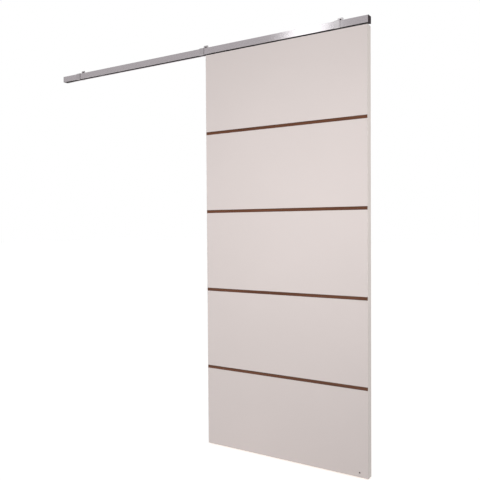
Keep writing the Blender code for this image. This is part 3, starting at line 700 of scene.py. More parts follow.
def rounded(corners, radii, steps=4, closed=True):
    """A polyline with each corner made an arc.

    At a corner c with unit vectors a and b to its neighbours, the arc's centre is
    c + (a + b) / |a + b| * r / sin(h), where h is half the angle between a and b, and it runs
    from c + a r / tan(h) to c + b r / tan(h). An open line keeps its two ends.
    """
    corners = np.asarray(corners, float)
    radii = np.broadcast_to(np.asarray(radii, float), len(corners))
    if not closed:
        middle, radii = corners[1:-1], radii[1:-1]
        before, after = corners[:-2], corners[2:]
    else:
        middle, before, after = corners, np.roll(corners, 1, 0), np.roll(corners, -1, 0)
    a = (before - middle) / np.linalg.norm(before - middle, axis=1, keepdims=True)
    b = (after - middle) / np.linalg.norm(after - middle, axis=1, keepdims=True)
    half = np.arccos(np.clip((a * b).sum(1), -1, 1))[:, None] / 2
    radius = radii[:, None]
    centre = middle + (a + b) / np.linalg.norm(a + b, axis=1, keepdims=True) * radius / np.sin(half)
    start = middle + a * radius / np.tan(half) - centre
    end = middle + b * radius / np.tan(half) - centre
    turn = (math.pi - 2 * half)[:, None]
    share = np.linspace(0, 1, steps + 1)[None, :, None]
    swing = start[:, None] * np.sin((1 - share) * turn) + end[:, None] * np.sin(share * turn)
    points = (centre[:, None] + swing / np.sin(turn)).reshape(-1, 2)
    if not closed:
        points = np.vstack([corners[:1], points, corners[-1:]])
    return points


def inset(outline, amount):
    """A closed outline moved inwards: each point goes along the mean of its sides' normals."""
    side = np.roll(outline, -1, 0) - outline
    side /= np.linalg.norm(side, axis=1, keepdims=True)
    normal = np.stack([-side[:, 1], side[:, 0]], 1)
    area = np.cross(outline, np.roll(outline, -1, 0)).sum()
    normal *= math.copysign(1, area)
    both = normal + np.roll(normal, 1, 0)
    reach = 1 + (normal * np.roll(normal, 1, 0)).sum(1, keepdims=True)
    return outline + amount * both / reach


def carried(name, outline, axis, low, high, edge, steps=3):
    """A closed outline carried straight along an axis, with both ends' edges rounded.

    At an angle t from 0 to 90 degrees, a ring is inset by edge (1 - sin t) and stands
    edge (1 - cos t) from the end.
    """
    t = np.linspace(0, QUARTER, steps + 1)
    insets = edge * (1 - np.sin(t))
    runs = edge * (1 - np.cos(t))
    insets = np.concatenate([insets, insets[::-1]])
    places = np.concatenate([low + runs, high - runs[::-1]])
    rings = np.stack([inset(outline, amount) for amount in insets])
    along = np.broadcast_to(places[:, None, None], (*rings.shape[:2], 1))
    order = {"X": (0, 1, 2), "Y": (1, 0, 2), "Z": (1, 2, 0)}[axis]
    points = np.concatenate([along, rings], 2)[..., order].reshape(-1, 3)
    rows, columns = rings.shape[:2]
    first = np.arange(columns)[None, ::-1]
    last = first[:, ::-1] + (rows - 1) * columns
    return mesh_of(name, points, [grid_faces(rows, columns), first, last])


def ring_points(radii, heights, angles):
    """Points of rings about +Z: (r cos a, r sin a, z), with r for each ring and angle."""
    heights = np.broadcast_to(np.asarray(heights, float)[:, None], radii.shape)
    return np.stack([radii * np.cos(angles), radii * np.sin(angles), heights], 2).reshape(-1, 3)


def stacked(name, radii, heights, axis, centre, loop=False):
    """Rings about a line: point (i, j) is at radius r(i, j), angle a(j) and height z(i).

    The rows close into a loop round a bore, or each end closes at a point on the axis.
    """
    radii = np.asarray(radii, float).reshape(len(heights), -1)
    radii = np.broadcast_to(radii, (len(heights), ROUND))
    points = ring_points(radii, heights, ANGLES)
    groups = [grid_faces(len(radii), ROUND, loop)]
    if not loop:
        near = np.arange(ROUND)
        beside = (near + 1) % ROUND
        count = len(points)
        far = count - ROUND
        groups.append(np.stack([beside, near, np.full(ROUND, count)], 1))
        groups.append(np.stack([far + near, far + beside, np.full(ROUND, count + 1)], 1))
        points = np.vstack([points, [[0, 0, heights[0]], [0, 0, heights[-1]]]])
    return mesh_of(name, turned_to(points, axis, centre), groups)


def hexagon(flats):
    """Radius of a hexagon at each angle: half its flats over the cosine from the nearest flat."""
    off = np.mod(ANGLES, math.pi / 3) - math.pi / 6
    return flats / 2 / np.cos(off)


def thread_rows(length, pitch, per_turn=8):
    """Heights from 0 down to -length, with per_turn rows to each turn."""
    return np.linspace(0, -length, max(2, int(round(length / pitch * per_turn)) + 1))


def thread_radii(heights, angles, crest, root, pitch, width, fade):
    """Radius of a thread: the root, and a ridge of the given width that climbs one pitch a turn.

    The ridge is 1 - |phase| / width, where phase goes from -0.5 to 0.5 with height over pitch
    less angle over a full turn, and it fades in over the first and last fade of the length.
    """
    phase = np.mod(heights[:, None] / pitch - angles[None, :] / math.tau, 1.0) - 0.5
    ridge = np.clip(1 - np.abs(phase) / width, 0, 1)
    depth = heights.max() - heights
    length = depth.max()
    grown = np.clip(np.minimum(depth, length - depth) / fade, 0, 1)[:, None]
    return root + (crest - root) * ridge * grown


def cross_head(head_radius, rim, crown, slot, reach, depth, count):
    """The top of a screw's head, with a cross-shaped recess.

    A square grid (u, v) is pressed into a disc: x = u sqrt(1 - v^2 / 2), y = v sqrt(1 - u^2 / 2).
    Its height is rim + crown (1 - r^2.6), less the recess where |u| or |v| is under slot and the
    other is under reach. Lines of the grid stand in pairs at the recess's walls.
    Returns the points, the quads and the indices round the edge.
    """
    wall = 0.03
    marks = np.array([0, slot - wall / 2, slot + wall / 2, reach - wall, reach + wall])
    marks = np.concatenate([marks, np.linspace(reach + 0.12, 1, count)])
    line = np.concatenate([-marks[:0:-1], marks])
    u, v = np.meshgrid(line, line, indexing="ij")
    x = u * np.sqrt(1 - v * v / 2)
    y = v * np.sqrt(1 - u * u / 2)
    distance = np.sqrt(x * x + y * y)
    z = rim + crown * (1 - distance**2.6)
    near, far = np.minimum(abs(u), abs(v)), np.maximum(abs(u), abs(v))
    inside = (near < slot) & (far < reach)
    z = z - np.where(inside, depth * (1 - 0.55 * far / reach), 0)
    points = np.stack([x * head_radius, y * head_radius, z], 2).reshape(-1, 3)
    side = len(line)
    i, j = np.meshgrid(np.arange(side - 1), np.arange(side - 1), indexing="ij")
    start = (i * side + j).reshape(-1)
    quads = np.stack([start, start + side, start + side + 1, start + 1], 1)
    run = np.arange(side - 1)
    last = side * (side - 1)
    rim_points = np.concatenate(
        [run * side, last + run, side * side - 1 - run * side, side - 1 - run]
    )
    return points, quads, rim_points


def screw_mesh(name, axis, centre, shank, length, head, rim, crown, sink=0.0):
    """A cross-head wood screw: head up +Z from the seat, threaded shank down to a point.

    Below the head's top come rings: the sides of a pan head, or none over a countersink that is
    sink deep, then the threaded shank and a cone to the tip.
    """
    pitch = bpy.context.scene.door_hardware.wood_pitch
    top, quads, edge = cross_head(head, rim, crown, CROSS_WIDTH, CROSS_REACH, (rim + crown) * CROSS_DEPTH, 4)
    angles = np.arctan2(top[edge, 1], top[edge, 0])
    point, root = 2 * shank, THREAD_ROOT * shank
    rows = thread_rows(length - point - sink, pitch)
    threaded = thread_radii(rows, angles, shank, root, pitch, 0.3, pitch)
    threaded[0] = 0.85 * shank
    side_r, side_z = ([], []) if sink else ([head, head * 0.97], [rim * 0.4, 0.0])
    tip_r = root * np.linspace(0.85, 0.12, 5)
    tip_z = rows[-1] - sink - point * np.linspace(0.15, 0.96, 5)
    flat = np.ones(len(angles))
    radii = np.vstack([np.outer(side_r, flat), threaded, np.outer(tip_r, flat)])
    rings = ring_points(radii, np.concatenate([side_z, rows - sink, tip_z]), angles)
    numbers = len(top) + np.arange(len(rings)).reshape(radii.shape)
    joined = np.vstack([edge, numbers])
    beside = np.roll(joined, -1, 1)
    sides = np.stack([joined[:-1], joined[1:], beside[1:], beside[:-1]], 2).reshape(-1, 4)
    end = len(top) + len(rings)
    cone = np.stack([joined[-1], np.full(len(angles), end), beside[-1]], 1)
    points = np.vstack([top, rings, [[0, 0, rows[-1] - sink - point]]])
    return mesh_of(name, turned_to(points, axis, centre), [quads, sides, cone])


def bent_strip(name, path, radii, width, thickness, edge, corner, x):
    """A flat strip bent along a path in the (y, z) plane.

    Its section is a rectangle, width by thickness, with corners of radius edge, set square to
    the path at each station. Near the first end the half width is
    w - c + sqrt(c^2 - (c - d)^2) at a distance d under the corner radius c, which rounds the tab.
    """
    line = rounded(path, radii, 8, closed=False)
    steps = np.sin(np.linspace(0, QUARTER, 9)[1:]) ** 2
    ends, before = line[[0, -1]], line[[1, -2]]
    ways = (before - ends) / np.linalg.norm(before - ends, axis=1, keepdims=True)
    first = ends[0] + ways[0] * corner * steps[:, None]
    last = ends[1] + ways[1] * edge * steps[::-1, None]
    line = np.vstack([line[:1], first, line[1:-1], last, line[-1:]])
    run = np.concatenate([[0], np.cumsum(np.linalg.norm(np.diff(line, axis=0), axis=1))])
    way = np.gradient(line, run, axis=0)
    way /= np.linalg.norm(way, axis=1, keepdims=True)
    normal = np.stack([-way[:, 1], way[:, 0]], 1)
    from_first, from_last = run, run[-1] - run

    def shrink(distance, radius):
        short = np.clip(radius - distance, 0, radius)
        return radius - np.sqrt(radius**2 - short**2)

    half_width = width / 2 - shrink(from_first, corner) - shrink(from_last, edge)
    half_thick = thickness / 2 - shrink(from_first, edge) - shrink(from_last, edge)
    half_thick = np.maximum(half_thick, thickness / 2 - edge)
    t = np.linspace(0, QUARTER, 4)
    turn = (np.arange(4)[:, None] * QUARTER + t[None, :]).reshape(-1)
    sign_x = np.repeat([1, -1, -1, 1], 4)
    sign_n = np.repeat([1, 1, -1, -1], 4)
    across = sign_x * (half_width[:, None] - edge) + edge * np.cos(turn)
    out = sign_n * (half_thick[:, None] - edge * 0.5) + edge * 0.5 * np.sin(turn)
    y = line[:, :1] + normal[:, :1] * out
    z = line[:, 1:] + normal[:, 1:] * out
    points = np.stack([x + across, y, z], 2).reshape(-1, 3)
    rows, columns = across.shape
    start = np.arange(columns)[None, ::-1]
    end = start[:, ::-1] + (rows - 1) * columns
    return mesh_of(name, points, [grid_faces(rows, columns), start, end])


# Pieces


def linked(name, data):
    """A new object in the scene."""
    item = bpy.data.objects.new(name, data)
    bpy.context.scene.collection.objects.link(item)
    return item


def stand_in(name, mesh, node, finish=None):
    """A piece that stands for a CAD node: it rides on its body and takes its slot."""
    piece = linked(name, mesh)
    body = frame["nodes"][node]["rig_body"]
    mesh.materials.append(finish_of(finish or SLOTS[node]))
    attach(piece, body)
    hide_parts(node)
    return piece


def drill(piece, centre, axis, radius, reach):
    """Takes a round hole out of a piece, and leaves the result as its mesh."""
    tool = linked("drill", stacked("drill", [radius, radius], [-reach, reach], axis, centre))
    hole = piece.modifiers.new("hole", "BOOLEAN")
    hole.operation = "DIFFERENCE"
    hole.solver = "EXACT"
    hole.object = tool
    bpy.context.view_layer.update()
    graph = bpy.context.evaluated_depsgraph_get()
    cut = bpy.data.meshes.new_from_object(piece.evaluated_get(graph))
    piece.modifiers.clear()
    if len(cut.polygons) <= len(piece.data.polygons):
        raise RuntimeError(f"the hole missed {piece.name}")
    piece.data = cut
    weigh_normals(cut)
    bpy.data.objects.remove(tool)
    return piece


def eased(name, node, finish=None):
    """A CAD solid again as one welded mesh, with its edges rounded."""
    work = bmesh.new()
    work.from_mesh(frame["nodes"][node].data)
    bmesh.ops.remove_doubles(work, verts=work.verts, dist=WELD)
    bmesh.ops.dissolve_limit(work, angle_limit=math.radians(0.5), verts=work.verts, edges=work.edges)
    mesh = bpy.data.meshes.new(name)
    work.to_mesh(mesh)
    work.free()
    mesh.materials.clear()
    mesh.shade_smooth()
    piece = stand_in(name, mesh, node, finish=finish)
    bevel = piece.modifiers.new("eased", "BEVEL")
    bevel.width = bpy.context.scene.door_hardware.eased_edge
    bevel.segments = 3
    bevel.limit_method = "ANGLE"
    bevel.angle_limit = SHARP
    bevel.harden_normals = True
    return piece


def extruded(name, node, section, edge, axis="X", arc=4, steps=2):
    """A section of (a, b, corner radius) rows, carried along an axis through a node's box."""
    low, high = box_of(node)
    along = "XYZ".index(axis)
    section = np.array(section)
    outline = rounded(section[:, :2], section[:, 2], arc)
    return stand_in(name, carried(name, outline, axis, low[along], high[along], edge, steps), node)


def turned(name, node, radii, heights, axis, centre, loop=False, finish=None):
    """A piece turned about a line."""
    return stand_in(name, stacked(name, radii, heights, axis, centre, loop), node, finish)


def make_inlay(name, node):
    """A strip as a bar with rounded edges and ends."""
    low, high = box_of(node)
    corners = [(low[1], low[2]), (high[1], low[2]), (high[1], high[2]), (low[1], high[2])]
    extruded(name, node, [(*corner, STRIP_EDGE) for corner in corners], STRIP_EDGE, arc=3, steps=3)


def make_track():
    """The extrusion's section, with small rounds, carried along the track."""
    sizes = bpy.context.scene.door_track
    low, high = box_of("track_profile")
    wall = sizes.wall
    channel_front = low[1] + wall
    channel_back = channel_front + sizes.channel
    middle = channel_front + sizes.channel / 2
    slot_front = middle - sizes.slot / 2
    slot_back = middle + sizes.slot / 2
    rear_wall = channel_back + wall
    lip_front = high[1] - wall
    ledge = low[2] + sizes.ledge
    roof = high[2] - wall
    floor = low[2] + wall
    r, s = sizes.outer_radius, sizes.inner_radius
    section = [
        (low[1], low[2], r),
        (low[1], high[2], r),
        (high[1], high[2], r),
        (high[1], roof - sizes.rear_lip, s),
        (lip_front, roof - sizes.rear_lip, s),
        (lip_front, roof, s),
        (rear_wall, roof, s),
        (rear_wall, floor, s),
        (lip_front, floor, s),
        (lip_front, floor + sizes.rear_lip, s),
        (high[1], floor + sizes.rear_lip, s),
        (high[1], low[2], r),
        (slot_back, low[2], s),
        (slot_back, ledge, s),
        (channel_back, ledge, s),
        (channel_back, roof, s),
        (channel_front, roof, s),
        (channel_front, ledge, s),
        (slot_front, ledge, s),
        (slot_front, low[2], s),
    ]
    extruded("track", "track_profile", section, TRACK_END_ROUND)


def make_bracket(side):
    """The strip bent over the track, drilled for its wall screw."""
    sizes = bpy.context.scene.door_hardware
    node = f"wall_bracket_{side}"
    low, high = box_of(node)
    track_low, track_high = box_of("track_profile")
    x = (low[0] + high[0]) / 2
    thickness = (track_low[1] - low[1]) / (1 + GAP_SHARE)
    half = thickness / 2
    arm_z = track_high[2] + (track_low[1] - low[1] - thickness) + half
    path = [
        (high[1] - half, high[2]),
        (high[1] - half, arm_z),
        (low[1] + half, arm_z),
        (low[1] + half, low[2] + half),
        (track_low[1] + HOOK_REACH, low[2] + half),
    ]
    radii = [0, sizes.bend_radius + half / 2, sizes.bend_radius, sizes.bend_radius, 0]
    name = f"bracket_{side}"
    width = high[0] - low[0]
    mesh = bent_strip(name, path, radii, width, thickness, sizes.strip_edge, sizes.tab_corner, x)
    piece = stand_in(name, mesh, node, "bracket_steel")
    hole = (x, high[1] - half, middle_of(f"wall_screw_{side}")[2])
    drill(piece, hole, (0, 1, 0), SCREW_HOLE, 3 * thickness)
    piece.data.materials.append(finish_of("cut_steel"))
    normals = np.empty(len(piece.data.polygons) * 3)
    piece.data.polygons.foreach_get("normal", normals)
    # the side faces take the darkened sheared steel, painted shade along the strip's edges
    shaded_edge_faces = (abs(normals[0::3]) > 0.95).astype(np.int32)
    piece.data.polygons.foreach_set("material_index", shaded_edge_faces)


def make_pan_screw(name, node, along, shank):
    """A pan-head screw, with its head at the low end along Y or at the high end along Z."""
    low, high = box_of(node)
    head = (high[0] - low[0]) / 2
    height = HEAD_HEIGHT * head
    seat = (low + high) / 2
    seat[along] = low[1] + height if along == 1 else high[2] - height
    length = high[1] - seat[1] if along == 1 else seat[2] - low[2]
    axis = (0, -1, 0) if along == 1 else (0, 0, 1)
    rim, crown = HEAD_RIM * height, (1 - HEAD_RIM) * height
    stand_in(name, screw_mesh(name, axis, seat, shank, length, head, rim, crown), node)


def make_end_stop(side):
    """The clamped block, its grub screw with a hexagon socket, and the rubber buffer."""
    eased(f"stop_block_{side}", f"end_stop_{side}", "stop_plastic")
    node = f"stop_screw_{side}"
    low, high = box_of(node)
    radius = (high[0] - low[0]) / 2
    rows = thread_rows(high[2] - low[2] - 0.0012, GRUB_PITCH, 6)
    root = 0.84 * radius
    threaded = thread_radii(rows, ANGLES, radius, root, GRUB_PITCH, 0.45, GRUB_PITCH)
    socket = hexagon(radius)
    radii = np.vstack([0.6 * socket, socket, socket * 1.04, np.full(ROUND, root), threaded])
    heights = np.concatenate([[-SOCKET_DEPTH - 0.0004, -SOCKET_DEPTH, 0, 0], rows - 0.0004])
    centre = (*middle_of(node)[:2], low[2])
    turned(f"grub_screw_{side}", node, radii, heights, (0, 0, -1), centre)
    node = f"stop_buffer_{side}"
    low, high = box_of(node)
    base, inwards = (low[0], 1) if side == "left" else (high[0], -1)
    r = (high[2] - low[2]) / 2
    length = high[0] - low[0]
    t = np.linspace(0, QUARTER, 7)
    nose = 0.0016
    radii = [r * 0.97, r, r, r * 0.93, r * 0.93, r, *(r - nose + nose * np.cos(t)), r * 0.45, r * 0.3]
    heights = [0, 0.0003, 0.0022, 0.0026, 0.0034, 0.0038, *(length - nose + nose * np.sin(t))]
    heights += [length, length - 0.0006]
    turned(f"buffer_{side}", node, radii, heights, (inwards, 0, 0), (base, *middle_of(node)[1:]))


def make_floor_guide():
    """The moulded guide and its two countersunk screws."""
    eased("guide_base", "floor_guide")
    for side in SIDES:
        name, node = f"countersunk_{side}", f"guide_screw_{side}"
        low, high = box_of(node)
        centre = (*middle_of(node)[:2], high[2])
        head = (high[0] - low[0]) / 2
        shank = head / 1.7
        length = high[2] - low[2]
        mesh = screw_mesh(name, (0, 0, 1), centre, shank, length, head, -0.00002, 0.0, head - shank)
        stand_in(name, mesh, node)


def make_skin(side):
    """A face board: its section up the door, notched for the strips, carried across the door."""
    sizes = bpy.context.scene.door_leaf
    node = f"door_skin_{side}"
    low, high = box_of(node)
    face, back = (low[1], high[1]) if side == "front" else (high[1], low[1])
    section = [(back, low[2], 0.0002), (face, low[2], sizes.skin_round)]
    for number in (4, 3, 2, 1):
        strip_low, strip_high = box_of(f"{side}_strip_{number}")
        bottom = strip_high[1] if side == "front" else strip_low[1]
        bottom += math.copysign(INLAY_GAP, back - face)
        section += [
            (face, strip_low[2] - INLAY_GAP, sizes.skin_round),
            (bottom, strip_low[2] - INLAY_GAP, 0.0001),
            (bottom, strip_high[2] + INLAY_GAP, 0.0001),
            (face, strip_high[2] + INLAY_GAP, sizes.skin_round),
        ]
    section += [(face, high[2], sizes.skin_round), (back, high[2], 0.0002)]
    piece = extruded(f"face_{side}", node, section, SEAM_ROUND, arc=3)
    if side == "front":
        plug_low, plug_high = box_of("corner_plug")
        centre = (plug_low + plug_high) / 2
        centre[1] = face
        radius = (plug_high[0] - plug_low[0]) / 2 + INLAY_GAP
        drill(piece, centre, (0, 1, 0), radius, plug_high[1] - face + INLAY_GAP)


def make_edging(side):
    """An edge strip's section, rounded on its outer corners only, carried up the leaf."""
    node = f"edge_lipping_{side}"
    low, high = box_of(node)
    outer, inner = (low[0], high[0] + SEAM) if side == "left" else (high[0], low[0] - SEAM)
    large = bpy.context.scene.door_leaf.edge_round
    section = [(outer, low[1], large), (inner, low[1], SEAM_ROUND)]
    section += [(inner, high[1], SEAM_ROUND), (outer, high[1], large)]
    extruded(f"edging_{side}", node, section, SEAM_ROUND, "Z")


def make_plug():
    """A small dark plug with a domed top and a fine ring round it."""
    low, high = box_of("corner_plug")
    r = (high[0] - low[0]) / 2
    x, _, z = middle_of("corner_plug")
    length = high[1] - low[1]
    t = np.linspace(0, QUARTER, 8)
    radii = [r * 0.94, r, r, *(r * np.cos(t) * 0.97)[:-1], r * 0.02]
    heights = [0, 0.0003, length - 0.0005, *(length - 0.0004 + 0.0004 * np.sin(t))[:-1], length]
    turned("plug", "corner_plug", radii, heights, (0, -1, 0), (x, high[1], z))


def make_guide_channel():
    """The U-section in the leaf's bottom, with rounded lips."""
    low, high = box_of("guide_channel")
    wall = CHANNEL_WALL
    section = [
        (low[1], low[2], 0.0003),
        (low[1], high[2], 0.0004),
        (high[1], high[2], 0.0004),
        (high[1], low[2], 0.0003),
        (high[1] - wall, low[2], 0.0003),
        (high[1] - wall, high[2] - wall, 0.0003),
        (low[1] + wall, high[2] - wall, 0.0003),
        (low[1] + wall, low[2], 0.0003),
    ]
    extruded("bottom_channel", "guide_channel", section, 0.0002, arc=3)


def hexagons_of(node):
    """A hexagon's radii over a node's width across its flats, plain and with chamfered corners."""
    low, high = box_of(node)
    flats = high[1] - low[1]
    hexed = hexagon(flats)
    return hexed, np.minimum(hexed, flats / 2 * 1.02)


def make_bolt(side):
    """A hexagon-head bolt, head down, threaded all the way into the carriage."""
    pitch = bpy.context.scene.door_hardware.machine_pitch
    node = f"hanger_bolt_{side}"
    low, high = box_of(node)
    hexed, washer = hexagons_of(node)
    radius = BOLT_RADIUS
    rows = thread_rows(high[2] - low[2] - BOLT_HEAD - 0.0006, pitch, 6)
    threaded = thread_radii(rows, ANGLES, radius, 0.82 * radius, pitch, 0.5, 0.002)
    neck, lead = np.full(ROUND, radius * 0.9), np.full(ROUND, 0.8 * radius)
    radii = np.vstack([washer * 0.9, washer, hexed, hexed, washer, neck, threaded, lead])
    up = [0, 0.0002, 0.0008, BOLT_HEAD - 0.0004, BOLT_HEAD, BOLT_HEAD]
    heights = np.concatenate([up, BOLT_HEAD - rows, [high[2] - low[2]]])
    centre = (*middle_of(node)[:2], low[2])
    turned(f"bolt_{side}", node, radii, heights, (0, 0, 1), centre, finish="bolt_steel")


def make_nut(side):
    """A hexagon nut with chamfered corners and a threaded bore."""
    pitch = bpy.context.scene.door_hardware.machine_pitch
    node = f"bolt_nut_{side}"
    low, high = box_of(node)
    height = high[2] - low[2]
    hexed, washer = hexagons_of(node)
    bore = BOLT_RADIUS + 0.0001
    rows = thread_rows(height - 0.0008, pitch, 6)
    inner = bore + 0.0003 - thread_radii(rows, ANGLES, 0.0003, 0.0, pitch, 0.5, 0.001)
    mouth = np.full(ROUND, bore + 0.0005)
    radii = np.vstack([mouth, washer, hexed, hexed, washer, mouth, inner])
    heights = np.concatenate([[0, 0, 0.0005, height - 0.0005, height, height], height - 0.0004 + rows])
    centre = (*middle_of(node)[:2], low[2])
    turned(f"nut_{side}", node, radii, heights, (0, 0, 1), centre, loop=True, finish="bolt_steel")


def make_axle(name, node):
    """A ground pin with rounded ends and a centre mark in each."""
    low, high = box_of(node)
    x, _, z = middle_of(node)
    r = (high[2] - low[2]) / 2
    length = high[1] - low[1]
    t = np.linspace(0, QUARTER, 5)
    edge = 0.0003
    end_r = [0.12 * r, 0.3 * r, *(r - edge + edge * np.sin(t))]
    end_z = [0.0003, 0, *(edge - edge * np.cos(t))]
    radii = [*end_r, *end_r[::-1]]
    heights = [*end_z, *(length - np.array(end_z[::-1]))]
    turned(name, node, radii, heights, (0, 1, 0), (x, low[1], z))


def make_wheel(name, node):
    """A nylon tyre with a crowned tread, dished sides and a steel bearing ring in its bore.

    The tread falls by TREAD_CROWN t^2, where t goes from -1 to 1 across it.
    """
    low, high = box_of(node)
    r = (high[2] - low[2]) / 2
    half = (high[1] - low[1]) / 2
    hub, rim = np.array(WHEEL_HUB), np.array(WHEEL_RIM)
    side_r = np.concatenate([BORE_RADIUS + hub[:, 0], r - rim[:, 0]])
    side_z = half - np.concatenate([hub[:, 1], rim[:, 1]])
    t = np.linspace(-1, 1, 9)
    tread_z = t * (half - TREAD_EDGE)
    tread_r = r - TREAD_CROWN * t**2
    radii = np.concatenate([side_r[::-1], side_r, tread_r[::-1]])
    heights = np.concatenate([-side_z[::-1], side_z, tread_z[::-1]])
    piece = turned(name, node, radii, heights, (0, 1, 0), (low + high) / 2, loop=True)
    piece.data.materials.append(finish_of("steel"))
    middle = len(side_r)
    ring = np.repeat(np.arange(len(radii)), ROUND)
    is_steel = (ring >= middle - STEEL_RINGS) & (ring < middle + STEEL_RINGS - 1)
    piece.data.polygons.foreach_set("material_index", is_steel.astype(np.int32))


# Operators


class MakeTrack(bpy.types.Operator):
    """Make the aluminium track and its end caps."""

    bl_idname = "door_set.track"
    bl_label = "Track and caps"

    def execute(self, context):
        make_track()
        for side in SIDES:
            eased(f"cap_{side}", f"end_cap_{side}")
        return {"FINISHED"}


class MakeBrackets(bpy.types.Operator):
    """Make the wall brackets, their spacers and their screws."""

    bl_idname = "door_set.brackets"
    bl_label = "Wall brackets"

    def execute(self, context):
        for side in BRACKETS:
            make_bracket(side)
            make_pan_screw(f"screw_{side}", f"wall_screw_{side}", 1, WALL_SHANK)
            eased(f"spacer_block_{side}", f"spacer_{side}")
        return {"FINISHED"}


class MakeStops(bpy.types.Operator):
    """Make the end stops with their grub screws and buffers."""

    bl_idname = "door_set.stops"
    bl_label = "End stops"

    def execute(self, context):
        for side in SIDES:
            make_end_stop(side)
        return {"FINISHED"}


class MakeGuide(bpy.types.Operator):
    """Make the floor guide and the channel that it runs in."""

    bl_idname = "door_set.guide"
    bl_label = "Floor guide"

    def execute(self, context):
        make_floor_guide()
        make_guide_channel()
        return {"FINISHED"}


class MakeLeaf(bpy.types.Operator):
    """Make the door leaf: faces, edges, strips, plug and core."""

    bl_idname = "door_set.leaf"
    bl_label = "Door leaf"

    def execute(self, context):
        for side in ("front", "rear"):
            make_skin(side)
            for number in range(1, 5):
                make_inlay(f"inlay_{side}_{number}", f"{side}_strip_{number}")
        for side in SIDES:
            make_edging(side)
        make_plug()
        core = frame["nodes"]["door_core"]
        for slot in core.material_slots:
            slot.material = finish_of("core_board")
        return {"FINISHED"}


class MakeHangers(bpy.types.Operator):
    """Make the hanger plates, their screws, the hanging bolts and their nuts."""

    bl_idname = "door_set.hangers"
    bl_label = "Hangers"

    def execute(self, context):
        for side in SIDES:
            eased(f"plate_{side}", f"hanger_plate_{side}")
            make_bolt(side)
            make_nut(side)
            for letter in "ab":
                end = f"{side}_{letter}"
                make_pan_screw(f"pan_screw_{end}", f"plate_screw_{end}", 2, PLATE_SHANK)
        return {"FINISHED"}


class MakeCarriages(bpy.types.Operator):
    """Make the carriages, their axles and their wheels."""

    bl_idname = "door_set.carriages"
    bl_label = "Carriages"

    def execute(self, context):
        for side in SIDES:
            eased(f"truck_{side}", f"carriage_{side}")
            for letter in "ab":
                end = f"{side}_{letter}"
                make_axle(f"pin_{end}", f"axle_{end}")
                for face in ("front", "back"):
                    make_wheel(f"roller_{end}_{face}", f"wheel_{end}_{face}")
        return {"FINISHED"}


def area_light(name, power, place, target, width, height, spread, colour):
    """A rectangular light at place that faces target."""
    light = bpy.data.lights.new(name, "AREA")
    light.shape = "RECTANGLE"
    light.size = width
    light.size_y = height
    light.energy = power
    light.spread = math.radians(spread)
    light.color = colour
    lamp = linked(name, light)
    lamp.location = place
    lamp.rotation_euler = (Vector(target) - Vector(place)).to_track_quat("-Z", "Y").to_euler()


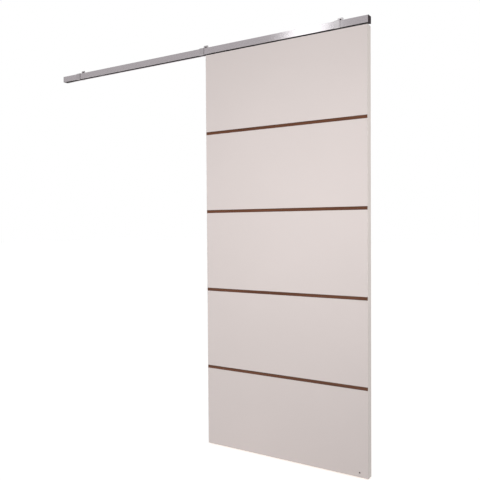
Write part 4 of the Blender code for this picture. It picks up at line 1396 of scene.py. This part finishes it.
class MakeStage(bpy.types.Operator):
    """Make the floor, the lights and the camera."""

    bl_idname = "door_set.stage"
    bl_label = "Studio"

    def execute(self, context):
        settings = context.scene.door_stage
        self.make_floor()
        self.make_world(context.scene, settings)
        for name, shape in LIGHTS.items():
            area_light(name, getattr(settings, f"{name}_power"), *shape)
        context.scene.camera = self.make_camera(settings)
        return {"FINISHED"}

    def make_floor(self):
        z = box_of("floor_guide")[0][2] - FLOOR_GAP
        corners = [(x * FLOOR_REACH, y * FLOOR_REACH, z) for x, y in ((-1, -1), (1, -1), (1, 1), (-1, 1))]
        mesh = bpy.data.meshes.new("studio_floor")
        mesh.from_pydata(corners, [], [(0, 1, 2, 3)])
        mesh.materials.append(finish_of("floor"))
        linked("studio_floor", mesh)

    def make_world(self, scene, settings):
        """Even light from all round, in front of a white backdrop."""
        world = bpy.data.worlds.new("studio")
        f = Finish(world, "ShaderNodeOutputWorld")
        light = f.add("ShaderNodeBackground", values={"Color": WHITE, "Strength": settings.room_light})
        white = f.add("ShaderNodeBackground", values={"Color": WHITE})
        seen = f.add("ShaderNodeLightPath", out="Is Camera Ray")
        f.feed(f.output, f.add("ShaderNodeMixShader", values=[seen, light, white]))
        scene.world = world
        scene.view_settings.view_transform = "Standard"

    def make_camera(self, settings):
        lens = bpy.data.cameras.new("camera")
        lens.lens = settings.lens
        lens.sensor_width = 36.0
        lens.clip_start = 0.01
        lens.clip_end = 200.0
        camera = linked("camera", lens)
        turn = Matrix.Rotation(settings.turn, 4, "Z")
        tilt = Matrix.Rotation(QUARTER + settings.tilt, 4, "X")
        roll = Matrix.Rotation(settings.roll, 4, "Z")
        camera.matrix_world = Matrix.Translation(settings.place) @ turn @ tilt @ roll
        return camera


class DoorSetPanel(bpy.types.Panel):
    """Lists the pieces of the door set."""

    bl_idname = "VIEW3D_PT_door_set"
    bl_label = "Door set"
    bl_space_type = "VIEW_3D"
    bl_region_type = "UI"
    bl_category = "Door set"

    def draw(self, context):
        for operator in OPERATORS:
            self.layout.operator(operator.bl_idname)
        for group in SETTINGS:
            box = self.layout.box()
            settings = getattr(context.scene, group)
            for key in settings.bl_rna.properties.keys():
                if key not in ("rna_type", "name"):
                    box.prop(settings, key)


SETTINGS = {
    "door_track": TrackSettings,
    "door_leaf": LeafSettings,
    "door_hardware": HardwareSettings,
    "door_stage": StageSettings,
}
OPERATORS = (
    MakeTrack,
    MakeBrackets,
    MakeStops,
    MakeGuide,
    MakeLeaf,
    MakeHangers,
    MakeCarriages,
    MakeStage,
)


def register():
    for group, settings in SETTINGS.items():
        bpy.utils.register_class(settings)
        setattr(bpy.types.Scene, group, bpy.props.PointerProperty(type=settings))
    for cls in (*OPERATORS, DoorSetPanel):
        bpy.utils.register_class(cls)


def unregister():
    for cls in (DoorSetPanel, *reversed(OPERATORS)):
        bpy.utils.unregister_class(cls)
    for group, settings in reversed(SETTINGS.items()):
        delattr(bpy.types.Scene, group)
        bpy.utils.unregister_class(settings)


def main():
    register()
    bpy.ops.door_set.track()
    bpy.ops.door_set.brackets()
    bpy.ops.door_set.stops()
    bpy.ops.door_set.guide()
    bpy.ops.door_set.leaf()
    bpy.ops.door_set.hangers()
    bpy.ops.door_set.carriages()
    bpy.ops.door_set.stage()


if __name__ == "__main__":
    main()
